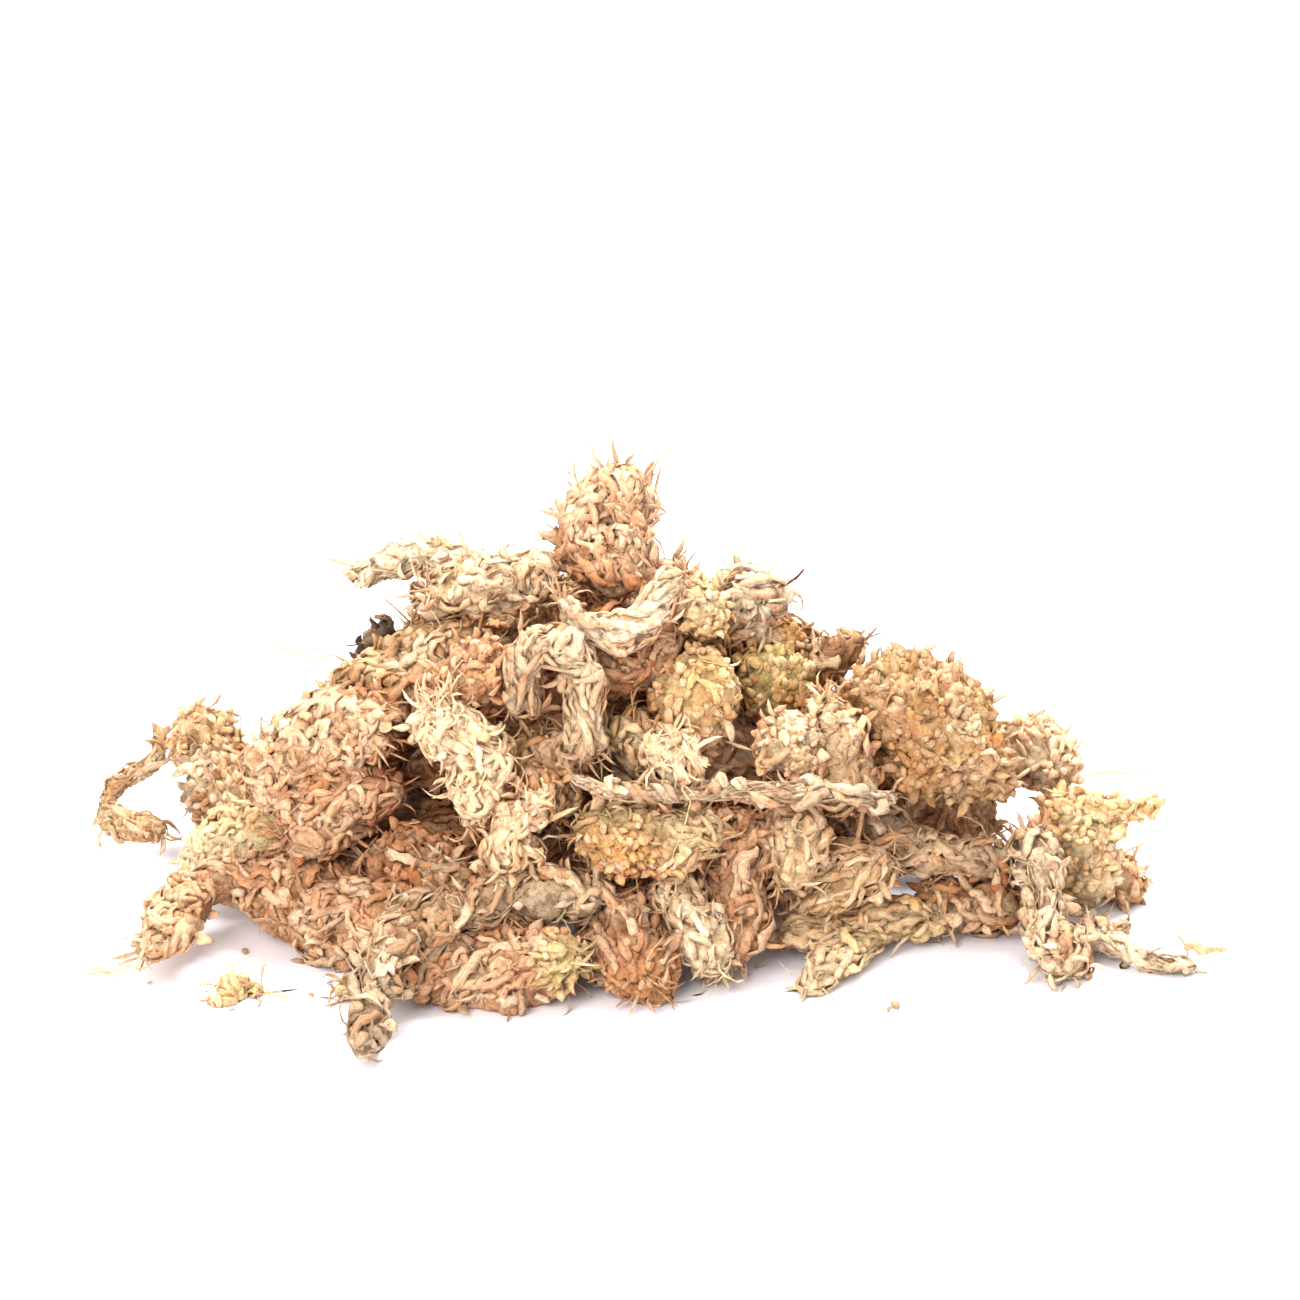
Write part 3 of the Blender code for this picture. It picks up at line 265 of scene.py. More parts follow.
# Places where a strand takes another colour and other leaves: node, middle and reach in
# millimetres, colour and kind. The middles were measured before the heap was centred.
PATCH_SHIFT = (1.5, 1.0, 0.0)
PATCH_EDGE = 1.6
PATCH_STRENGTH = 0.85
PATCHES = (
    ("front_mass", (-14, -38, 8), 6.5, GREEN_YELLOW, "head"),
    ("olive_low", (-6, -30, 22), 8.5, (0.78, 0.46, 0.18), "head"),
    ("bud_cluster", (74, 24, 27), 4.5, (0.36, 0.18, 0.08), "rope"),
    ("salmon_rope", (-84, -18, 4), 13.0, (0.74, 0.55, 0.34), "rope"),
    ("outer_twig", (-100, 22, 3), 9.0, (0.60, 0.44, 0.18), "head"),
    ("far_stem", (95, -18, 1), 5.0, (0.80, 0.62, 0.36), "head"),
    ("pale_mass", (84, 7, 25), 6.0, (0.80, 0.66, 0.42), "head"),
    ("dark_tail", (-46, -62, 6), 13.0, (0.30, 0.21, 0.13), "flaky"),
    ("crust_block", (61, 4, 28), 9.0, (0.42, 0.21, 0.08), "crust"),
    ("crust_block", (50, 2, 44), 9.0, (0.76, 0.50, 0.31), "crust"),
    ("back_low_left", (-40, 60, 4), 10.0, (0.72, 0.56, 0.34), "rope"),
)

# Loose threads, leaves and twigs: colour, radius, lift and the pixels of the photograph they cross
STRAYS = (
    ((0.90, 0.78, 0.58), 0.45, 0.5, ((410, 759), (424, 748), (440, 742), (446, 738))),
    ((0.90, 0.76, 0.54), 0.80, 1.0, ((440, 733), (441, 724), (440, 716), (439, 708))),
    ((0.86, 0.62, 0.34), 0.75, 0.6, ((475, 737), (483, 738), (491, 737))),
    ((0.85, 0.72, 0.52), 0.35, 0.7, ((427, 843), (434, 850), (447, 858), (462, 866), (474, 868))),
    ((0.90, 0.80, 0.62), 0.28, 0.6,
     ((745, 701), (737, 714), (729, 721), (734, 744), (728, 762), (723, 781))),
    ((0.90, 0.80, 0.62), 0.30, 0.5, ((722, 782), (700, 782), (684, 784), (668, 789), (650, 783))),
    ((0.92, 0.82, 0.62), 0.95, 0.8, ((536, 792), (546, 794), (551, 802), (548, 812))),
    ((0.88, 0.78, 0.62), 0.60, 0.6, ((548, 800), (559, 810), (564, 822), (561, 832))),
    ((0.86, 0.74, 0.54), 0.22, 0.6, ((271, 644), (290, 653), (312, 657), (333, 655), (352, 651))),
    ((0.80, 0.68, 0.50), 0.20, 0.5, ((271, 645), (286, 650), (304, 650), (322, 648), (340, 650))),
    ((0.84, 0.52, 0.24), 0.80, 0.8, ((675, 626), (684, 633), (694, 642), (703, 650))),
    ((0.16, 0.07, 0.05), 0.26, 0.6, ((805, 568), (796, 578), (787, 584), (777, 588))),
    ((0.16, 0.07, 0.05), 0.22, 0.6, ((722, 603), (727, 590), (738, 581), (748, 574))),
    ((0.20, 0.09, 0.06), 0.24, 0.6, ((723, 586), (732, 578), (743, 574))),
    ((0.30, 0.14, 0.08), 0.26, 0.4, ((917, 677), (928, 689), (938, 701), (948, 712), (955, 722))),
    ((0.93, 0.85, 0.66), 0.85, 0.9, ((683, 897), (686, 904), (694, 915), (702, 928), (708, 938))),
    ((0.92, 0.83, 0.62), 0.45, 0.9, ((684, 898), (679, 908), (678, 920), (684, 932))),
    ((0.90, 0.78, 0.56), 0.24, 0.8, ((494, 893), (497, 884), (504, 886))),
    ((0.92, 0.76, 0.48), 0.75, 0.6, ((610, 768), (619, 774), (632, 781))),
    ((0.92, 0.80, 0.54), 0.75, 0.6, ((602, 786), (613, 788), (629, 793))),
    ((0.86, 0.70, 0.46), 0.30, 0.7,
     ((1082, 776), (1096, 773), (1118, 772), (1138, 774), (1163, 771))),
    ((0.84, 0.68, 0.44), 0.26, 0.5, ((82, 970), (96, 969), (110, 972), (122, 970), (134, 964))),
    ((0.84, 0.68, 0.44), 0.22, 0.4, ((86, 975), (100, 972), (118, 976), (130, 972))),
    ((0.88, 0.74, 0.50), 0.40, 0.6, ((100, 850), (98, 838), (103, 826), (112, 812), (120, 800))),
    ((0.86, 0.70, 0.44), 0.40, 0.6, ((325, 558), (340, 562), (356, 566), (372, 562))),
    ((0.92, 0.82, 0.62), 0.36, 0.8, ((720, 560), (734, 566), (752, 562), (770, 566), (786, 570))),
    ((0.72, 0.54, 0.32), 0.85, 0.5, ((1184, 950), (1192, 944), (1198, 948), (1206, 955))),
    ((0.70, 0.46, 0.24), 0.60, 0.5, ((1196, 954), (1208, 950), (1218, 949), (1227, 950))),
)
STRAY_STEPS = 16
STRAY_ENDS = (0.10, 0.95)
STRAY_ROUND = 0.4
STRAY_SPREAD = (0.85, 1.15)
STRAY_FLAT = 0.7
STRAY_ROUGH = 0.10
STRAY_LOWEST = 0.3
STRAY_SPAN = 2            # depths are averaged over so many steps to each side

# Bits that fell on the ground: pixel of the photograph and length
FALLEN_BITS = (
    ((245, 953), 2.4), ((298, 963), 3.0), ((310, 997), 1.8), ((895, 1007), 3.2), ((889, 1011), 1.8),
    ((798, 1030), 0.8), ((1122, 905), 2.2), ((1137, 903), 1.5), ((452, 1013), 1.6), ((232, 1012), 1.5),
    ((700, 960), 3.0), ((752, 955), 2.6), ((1060, 965), 1.2), ((905, 940), 2.6), ((760, 968), 2.0),
    ((150, 985), 1.2), ((1010, 935), 2.0), ((330, 985), 1.6), ((1150, 882), 1.6),
)
FALLEN_COLOUR = (0.74, 0.50, 0.28)
FALLEN_STEPS = 6
FALLEN_ENDS = (0.15, 0.9)
FALLEN_WIDTH = 0.45       # as a share of the length
FALLEN_FLAT = 0.5
FALLEN_HEIGHT = 0.35
FALLEN_ARCH = 0.2
FALLEN_TONES = (0.7, 1.2)
FALLEN_ROUGH = 0.12
BIT_SIDES = 6             # sides of the loose threads and of the fallen bits

# Papery materials: roughness, scale of the stripes, scale of the specks, strength of the fine
# wrinkles, and how much light passes through
Paper = namedtuple("Paper", "roughness stripe speck bump glow")
PAPERS = {
    "rope": Paper(0.82, 1.1, 1100, 0.8, 0.08),
    "head": Paper(0.80, 1.0, 1200, 0.7, 0.10),
    "curls": Paper(0.78, 1.0, 900, 0.6, 0.12),
    "broom": Paper(0.78, 1.3, 900, 0.8, 0.08),
    "flaky": Paper(0.78, 1.2, 900, 0.8, 0.10),
    "crust": Paper(0.88, 1.4, 1300, 0.9, 0.04),
    "stem": Paper(0.74, 1.6, 1000, 0.9, 0.04),
    "stub": Paper(0.80, 1.6, 1400, 1.0, 0.0),
    "tuft": Paper(0.78, 1.2, 900, 0.8, 0.10),
    "body": Paper(0.90, 1.3, 1000, 1.0, 0.0),
}
GLOW_RADIUS = (1.0, 0.6, 0.35)
GLOW_SCALE = 0.0012       # metres, like the depth of the fine wrinkles
WRINKLE_DEPTH = 0.0005
SHINE = 0.22
FIELD_ROUGHNESS = 0.62
STRIPE_DETAIL = 4.0
STRIPE_RANGE = (0.34, 0.58)
STRIPE_DARK = (0.76, 0.47, 0.25)
STRIPE_SHARE = 0.70
SPECK_DETAIL = 5.0
SPECK_RANGE = (0.33, 0.50)
SPECK_DARK = (0.52, 0.26, 0.11)
SPECK_SHARE = 0.65
WHITE = (1.0, 1.0, 1.0)
MIX_COLOUR_A = 6          # places of the colour sockets on a mix node
MIX_COLOUR_B = 7
MIX_COLOUR_OUT = 2


def unit(vectors):
    """The same directions at length one."""
    return vectors / np.maximum(np.linalg.norm(vectors, axis=-1, keepdims=True), 1e-9)


def hashed(cells, seed):
    """Random number from 0 to 1 for each cell of a grid."""
    first, second, third, fourth = HASH_FACTORS
    mixed = cells[..., 0] * first ^ cells[..., 1] * second ^ cells[..., 2] * third ^ seed * fourth
    mixed = (mixed ^ (mixed >> 13)) * HASH_MIX
    return ((mixed ^ (mixed >> 16)) & HASH_TOP) / HASH_TOP


def noise(points, size, seed):
    """Smooth random field from 0 to 1 with features of one size."""
    grid = points / size
    cell = np.floor(grid).astype(np.int64)
    share = grid - cell
    share = share * share * (3 - 2 * share)
    total = np.zeros(points.shape[:-1])
    for corner in itertools.product((0, 1), repeat=3):
        weight = np.prod(np.where(np.array(corner) == 1, share, 1 - share), axis=-1)
        total += weight * hashed(cell + np.array(corner), seed)
    return total


def smeared(points, along, size, run, seed):
    """The same field drawn out along the way that the leaves lie."""
    steps = np.linspace(-0.5, 0.5, SMEAR_STEPS) * run
    total = sum(noise(points + step * along, size, seed) for step in steps) / len(steps)
    spread = 1.0 + SMEAR_SPREAD * min(run / size, SMEAR_LIMIT)
    return np.clip(0.5 + (total - 0.5) * spread, 0, 1)


def puffed(field):
    """Rounded ridges with sharp creases between them, from a smooth field."""
    return np.clip(np.abs(2 * field - 1) * PUFF_GAIN, 0, 1) ** PUFF_ROUND


def crumple(points, size, height, seed):
    """Moves points about by a smooth random field."""
    shift = np.stack([noise(points, size, seed + k) for k in range(3)], axis=-1) - 0.5
    return points + 2 * height * shift


def node_mesh(name):
    """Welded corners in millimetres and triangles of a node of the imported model."""
    mesh = frame["nodes"][name].data
    mesh.calc_loop_triangles()
    corners = np.empty(len(mesh.vertices) * 3)
    mesh.vertices.foreach_get("co", corners)
    corners = corners.reshape(-1, 3) / MM
    faces = np.empty(len(mesh.loop_triangles) * 3, int)
    mesh.loop_triangles.foreach_get("vertices", faces)
    _, first, where = np.unique(np.round(corners, 3), axis=0, return_index=True, return_inverse=True)
    faces = where.reshape(-1)[faces].reshape(-1, 3)
    a, b, c = faces.T
    faces = faces[(a != b) & (b != c) & (a != c)]
    return corners[first], faces


def side_pairs(faces):
    """The sides of all triangles, so that each inner edge comes twice."""
    sides = np.vstack((faces[:, (0, 1)], faces[:, (1, 2)], faces[:, (2, 0)]))
    return np.sort(sides, axis=1)


def edge_pairs(faces):
    """Each edge of a triangle mesh once."""
    return np.unique(side_pairs(faces), axis=0)


def average_round(values, edges, passes):
    """Each corner's value is mixed with its neighbours'."""
    count = np.bincount(edges.ravel(), minlength=len(values))[:, None] + 1.0
    for _ in range(passes):
        total = values.copy()
        for k in range(values.shape[1]):
            total[:, k] += np.bincount(edges[:, 0], values[edges[:, 1], k], len(values))
            total[:, k] += np.bincount(edges[:, 1], values[edges[:, 0], k], len(values))
        values = total / count
    return values


def halved(values, faces):
    """Splits each triangle in four, and gives each new corner the mean of its edge's ends."""
    ends, where = np.unique(side_pairs(faces), axis=0, return_inverse=True)
    middle = len(values) + where.reshape(3, -1)
    values = np.vstack((values, (values[ends[:, 0]] + values[ends[:, 1]]) / 2))
    a, b, c = faces.T
    ab, bc, ca = middle
    parts = ((a, ab, ca), (b, bc, ab), (c, ca, bc), (ab, bc, ca))
    return values, np.vstack([np.column_stack(part) for part in parts])


def corner_normals(corners, faces):
    """Normals of the corners, weighted by the faces' areas."""
    a, b, c = (corners[faces[:, k]] for k in range(3))
    normal = np.cross(b - a, c - a)
    total = np.zeros_like(corners)
    for k in range(3):
        for axis in range(3):
            total[:, axis] += np.bincount(faces[:, k], normal[:, axis], len(corners))
    return unit(total)


def run_from_end(corners, edges):
    """Distance over the surface from the strand's end, by repeated relaxation."""
    length = np.linalg.norm(corners[edges[:, 0]] - corners[edges[:, 1]], axis=1)
    middle = corners.mean(axis=0)
    start = int(np.argmax(np.linalg.norm(corners - middle, axis=1)))
    for turn in range(2):
        run = np.full(len(corners), FAR)
        run[start] = 0.0
        for _ in range(RUN_PASSES):
            before = run.sum()
            np.minimum.at(run, edges[:, 0], run[edges[:, 1]] + length)
            np.minimum.at(run, edges[:, 1], run[edges[:, 0]] + length)
            if run.sum() == before:
                break
        if turn == 0:
            start = int(np.argmax(np.where(run < FAR / 10, run, 0)))
    return run


def way_along(corners, faces, edges, run):
    """Which way the strand runs at each corner: the slope of the distance from its end."""
    a, b, c = (corners[faces[:, k]] for k in range(3))
    normal = np.cross(b - a, c - a)
    area = np.linalg.norm(normal, axis=1) / 2
    slope = (run[faces[:, 0], None] * np.cross(normal, c - b)
             + run[faces[:, 1], None] * np.cross(normal, a - c)
             + run[faces[:, 2], None] * np.cross(normal, b - a))
    slope = slope / np.maximum(4 * area, 1e-6)[:, None]
    total = np.zeros_like(corners)
    for k in range(3):
        np.add.at(total, faces[:, k], slope)
    return unit(average_round(unit(total), edges, ALONG_PASSES))


def tree_of_heap(meshes):
    """Search tree of many meshes, each given as corners and faces."""
    corners = np.vstack([corner for corner, _ in meshes])
    starts = np.cumsum([0] + [len(corner) for corner, _ in meshes])
    faces = np.vstack([face + start for (_, face), start in zip(meshes, starts)])
    return BVHTree.FromPolygons(corners.tolist(), faces.tolist(), all_triangles=True)


def open_share(heap, places, normals, rng):
    """Share of the directions out of each place that leave the heap."""
    directions = unit(rng.normal(size=(SKY_RAYS, 3)))
    free = np.zeros(len(places))
    for index, (place, normal) in enumerate(zip(places, normals)):
        start = Vector(place + SKY_LIFT * normal)
        clear = 0
        for direction in directions:
            ray = Vector(direction + SKY_LEAN * normal)
            clear += heap.ray_cast(start, ray, SKY_LENGTH)[0] is None
        free[index] = clear / len(directions)
    return free


def blended(tone, colour, share):
    """A tone with a share of another colour in it."""
    return tone * (1 - share) + np.array(colour) * share


def patch_place(middle):
    """A patch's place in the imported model, whose origin lies under the middle of the heap."""
    return np.array(middle, float) + np.array(PATCH_SHIFT)


def patch_tones(strand, places):
    """The strand's own colour, with paler, more orange and rustier stretches and its patches."""
    tone = np.tile(strand.colour, (len(places), 1))
    for stretch in STRETCHES:
        field = noise(places, stretch.size, stretch.seed) * stretch.gain - stretch.threshold
        tone = blended(tone, stretch.colour, np.clip(field, 0, 1)[:, None] * stretch.strength)
    for node, middle, reach, colour, _ in PATCHES:
        if node == strand.name:
            near = np.linalg.norm(places - patch_place(middle), axis=1)
            share = np.clip(PATCH_EDGE - PATCH_EDGE * near / reach, 0, 1)[:, None] * PATCH_STRENGTH
            tone = blended(tone, colour, share)
    return tone


def leaf_tones(base, free, rng):
    """Colour of each small shape: paler and rustier ones, and painted shade, darker and redder, on those
    deep in the heap.
    """
    count = len(free)
    bright = rng.uniform(*LEAF_BRIGHTNESS, count)[:, None]
    pale = (rng.random(count)[:, None] ** 2.0) * LEAF_PALENESS
    rust = np.where(rng.random(count) < RUSTY_SHARE, rng.uniform(*RUSTINESS, count), 0.0)[:, None]
    tone = blended(blended(base * bright, CREAM, pale), RUST, rust) * np.array(WARMTH)
    # painted shade: leaves that see less of the sky are darker and redder
    depth = (1 - free)[:, None] ** SHADE_CURVE
    return np.clip(tone * (1 - SHADE * depth * np.array(SHADE_TINT)), *TONE_LIMITS)


class Strand:
    """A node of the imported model, made finer: its folded body, and what is needed to dress it."""

    def __init__(self, name, slot, colour):
        self.name = name
        self.slot = slot
        self.colour = colour
        self.kind = KIND_OF.get(name, "rope")
        self.corners, self.faces = node_mesh(name)

    def refine(self, heap, rng):
        """Smooths and folds the body, keeping its form."""
        body = BODIES[self.kind]
        edges = edge_pairs(self.faces)
        run = run_from_end(self.corners, edges)
        along = way_along(self.corners, self.faces, edges, run)
        ends = np.clip(1 - run / FRAY, 0, 1) - np.clip(1 - (run.max() - run) / FRAY, 0, 1)
        thin = FRAY_THIN * np.abs(ends)[:, None] if self.kind in FRAYED else 0.0
        normal = unit(average_round(corner_normals(self.corners, self.faces), edges, 1))
        free = open_share(heap, self.corners, normal, rng)[:, None]
        smooth = average_round(self.corners, edges, 1)
        smooth = ((1 - KEEP_FORM) * smooth + KEEP_FORM * self.corners
                  + (body.swell * (SWELL_REACH - free) - thin) * normal)
        values = np.hstack((smooth, along, free, ends[:, None]))
        faces = self.faces
        for _ in range(body.halvings):
            values, faces = halved(values, faces)
            values = average_round(values, edge_pairs(faces), 1)
        places = crumple(values[:, :3], SWAY_SIZE, SWAY, SWAY_FIELD)
        self.along = unit(values[:, 3:6])
        self.free = np.clip(values[:, 6], 0, 1)
        self.ends = values[:, 7]
        self.fine_faces = faces
        self.places = self.folded(body, places)
        self.normal = corner_normals(self.places, faces)
        a, b, c = (self.places[faces[:, k]] for k in range(3))
        self.area = np.linalg.norm(np.cross(b - a, c - a), axis=1) / 2

    def folded(self, body, places):
        """Raises folds, crumple and lumps on the body, and keeps how deep each corner lies for the
        painted shade in its creases.
        """
        normal = corner_normals(places, self.fine_faces)
        folds = puffed(smeared(places, self.along, body.fold, body.run, FOLD_FIELD))
        grains = puffed(noise(places, body.grain, GRAIN_FIELD))
        # how deep a corner lies in the folds, kept for the painted shade in the creases
        self.relief = CREASE_SHADE_MIX[0] * folds + CREASE_SHADE_MIX[1] * grains
        lumps = noise(places, LUMP_SIZE, LUMP_FIELD) - 0.5
        rise = body.height * (folds - FOLD_LEVEL) + body.relief * (grains - 0.5) + body.lump * lumps
        places = places + rise[:, None] * normal
        places[:, 2] = np.maximum(places[:, 2], FLOOR_GAP)
        return places

    def body_tones(self):
        """Colours of the body with painted shade: darker and redder in its creases, and darker deep in
        the heap.
        """
        # painted shade: the creases of the body go darker and redder
        depth = (1 - self.relief)[:, None] ** CREASE_SHADE_CURVE
        tone = blended(patch_tones(self, self.places), CREASE_SHADE_COLOUR, CREASE_SHADE_STRENGTH * depth)
        # painted shade: the body darkens where less of the sky is seen
        return tone * (BODY_SKY_SHADE[0] + BODY_SKY_SHADE[1] * self.free[:, None])

    def kinds_at(self, places):
        """Kind of leaves at each place: the strand's own, or that of a patch."""
        kinds = np.full(len(places), self.kind, dtype=object)
        for node, middle, reach, _, kind in PATCHES:
            if node == self.name:
                kinds[np.linalg.norm(places - patch_place(middle), axis=1) < reach] = kind
        return kinds

    def scatter(self, density, rng):
        """Random places on the body: normal, the strand's way, openness and nearness to an end."""
        count = int(self.area.sum() * density)
        chosen = rng.choice(len(self.fine_faces), count, p=self.area / self.area.sum())
        mix = rng.random((count, 2))
        over = mix.sum(axis=1) > 1
        mix[over] = 1 - mix[over]
        weights = np.column_stack((1 - mix.sum(axis=1), mix))
        corners = self.fine_faces[chosen]
        place = np.einsum("ij,ijk->ik", weights, self.places[corners])
        normal = unit(np.einsum("ij,ijk->ik", weights, self.normal[corners]))
        along = np.einsum("ij,ijk->ik", weights, self.along[corners])
        along = unit(along - normal * np.einsum("ij,ij->i", along, normal)[:, None])
        free = np.einsum("ij,ij->i", weights, self.free[corners])
        ends = np.einsum("ij,ij->i", weights, self.ends[corners])
        return place, normal, along, free, ends


class Ground:
    """The bodies of all strands as one surface, over which leaves wander from strand to strand."""

    def __init__(self, strands):
        starts = np.cumsum([0] + [len(strand.places) for strand in strands])
        self.along = np.vstack([strand.along for strand in strands])
        self.faces = np.vstack([strand.fine_faces + start for strand, start in zip(strands, starts)])
        self.tree = tree_of_heap([(strand.places, strand.fine_faces) for strand in strands])

    def follow(self, ahead, outward, way):
        """Moves points onto the surface, with its normal and the way its leaves lie there."""
        place = ahead.copy()
        normal = outward.copy()
        flow = way.copy()
        for index, point in enumerate(ahead):
            hit, facing, face, _ = self.tree.find_nearest(Vector(point), REACH)
            if hit is not None:
                place[index] = hit
                normal[index] = facing
                flow[index] = self.along[self.faces[face, 0]]
        return place, normal, flow


def turned(vectors, axes, angle):
    """Vectors turned about axes that are square to them."""
    return vectors * np.cos(angle)[:, None] + np.cross(axes, vectors) * np.sin(angle)[:, None]


def half_wave(ends, steps):
    """A stretch of half a sine wave, which swells and shrinks."""
    return np.sin(np.linspace(*ends, steps) * math.pi)


def laid_spines(ground, shape, place, normal, along, rng):
    """Middle lines that wander over the surface, their sideways directions and their widths."""
    form = LAID[shape]
    count = len(place)
    step = rng.uniform(*form.length, count) / (LAID_STEPS - 1)
    width = rng.uniform(*form.width, count)
    way = turned(along, normal, rng.normal(0, 0.5 * form.wander + LEAST_TURN, count))
    phase = rng.uniform(0, 2 * math.pi, count)
    turn = rng.normal(0, form.wander, count)
    spine = []
    outward = []
    here = place.copy()
    lift = (LEAST_LIFT + form.lift * rng.random(count)) * width + form.wave * WAVE_LIFT
    for k in range(LAID_STEPS):
        rise = np.sin(math.pi * k / (LAID_STEPS - 1)) ** 0.5
        wave = form.wave * WAVE_HEIGHT * np.sin(phase + HEIGHT_BEAT * k) * rise
        height = (lift + wave) * rise - END_SINK * (1 - rise)
        spine.append(here + normal * height[:, None])
        outward.append(normal)
        way = turned(way, normal, turn + form.wander * np.sin(phase * 2 + TURN_BEAT * k))
        here, facing, flow = ground.follow(here + way * step[:, None], normal, way)
        normal = unit(0.5 * facing + 0.5 * outward[-1])
        same = np.where(np.einsum("ij,ij->i", flow, way) < 0, -1.0, 1.0)[:, None]
        way = way + FOLLOW * same * flow
        way = unit(way - normal * np.einsum("ij,ij->i", way, normal)[:, None])
    beat = phase[:, None] + WIDTH_BEAT * np.arange(LAID_STEPS)[None]
    ripple = 1 + WIDTH_WAVE * np.sin(beat + rng.normal(0, PHASE_SPREAD, (count, 1)))
    widths = width[:, None] * half_wave(LAID_ENDS, LAID_STEPS) ** LAID_ROUND * ripple
    return np.stack(spine, axis=1), np.stack(outward, axis=1), widths, widths * form.flat


def standing_spines(shape, place, normal, along, rng):
    """Middle lines that stand up from the surface and bend, with their directions and widths."""
    form = STANDING[shape]
    count = len(place)
    length = rng.uniform(*form.length, count)[:, None]
    width = rng.uniform(*form.width, count)
    way = turned(along, normal, np.radians(rng.normal(0, form.spread, count)))
    side = np.cross(normal, way)
    tilt = np.radians(rng.uniform(*form.tilt, count))[:, None]
    out = np.cos(tilt) * normal - np.sin(tilt) * way
    way = np.cos(tilt) * way + np.sin(tilt) * normal
    sign = np.where(rng.random(count) < form.curling, 1.0, -1.0)[:, None]
    bend_way = unit(sign * out + rng.normal(0, SIDE_BEND, count)[:, None] * side)
    bend = np.maximum(rng.uniform(*form.bend, count), LEAST_BEND)[:, None]
    root = place - ROOT_DEPTH * normal
    spine = []
    outward = []
    for u in np.linspace(0, 1, STANDING_STEPS):
        arc = np.sin(bend * u) * way + (1 - np.cos(bend * u)) * bend_way
        spine.append(root + length * arc / bend)
        outward.append(unit(-np.sin(bend * u) * way + np.cos(bend * u) * bend_way))
    spread = rng.uniform(*RING_SPREAD, (count, STANDING_STEPS))
    widths = width[:, None] * np.array(STANDING_RINGS) * spread
    return np.stack(spine, axis=1), np.stack(outward, axis=1), widths, widths * form.flat


def lofted(spine, outward, widths, depths, sides, phase):
    """Closed bodies round middle lines: their corners, with place along and round each body."""
    count, steps = spine.shape[:2]
    ahead = unit(np.gradient(spine, axis=1))
    wide = unit(np.cross(ahead, outward))
    thick = unit(np.cross(wide, ahead))
    angles = phase + 2 * math.pi * np.arange(sides) / sides
    ring = (np.cos(angles)[None, None, :, None] * wide[:, 1:-1, None]
            * 0.5 * widths[:, 1:-1, None, None]
            + np.sin(angles)[None, None, :, None] * thick[:, 1:-1, None]
            * 0.5 * depths[:, 1:-1, None, None])
    ring = ring + spine[:, 1:-1, None]
    corners = np.concatenate((spine[:, :1], ring.reshape(count, -1, 3), spine[:, -1:]), axis=1)
    along = np.concatenate(([0.0], np.repeat(np.linspace(0, 1, steps)[1:-1], sides), [1.0]))
    around = np.concatenate(([0.0], np.tile(np.arange(sides) / sides, steps - 2), [0.0]))
    return corners, along, around


def loft_faces(steps, sides):
    """Triangles of one lofted body: two end points and the rings between them."""
    faces = []
    rings = steps - 2
    last = 1 + rings * sides
    for s in range(sides):
        t = (s + 1) % sides
        faces.append((0, 1 + t, 1 + s))
        faces.append((last, last - sides + s, last - sides + t))
        for k in range(rings - 1):
            a = 1 + k * sides + s
            b = 1 + k * sides + t
            faces.append((a, b, b + sides))
            faces.append((a, b + sides, a + sides))
    return np.array(faces)


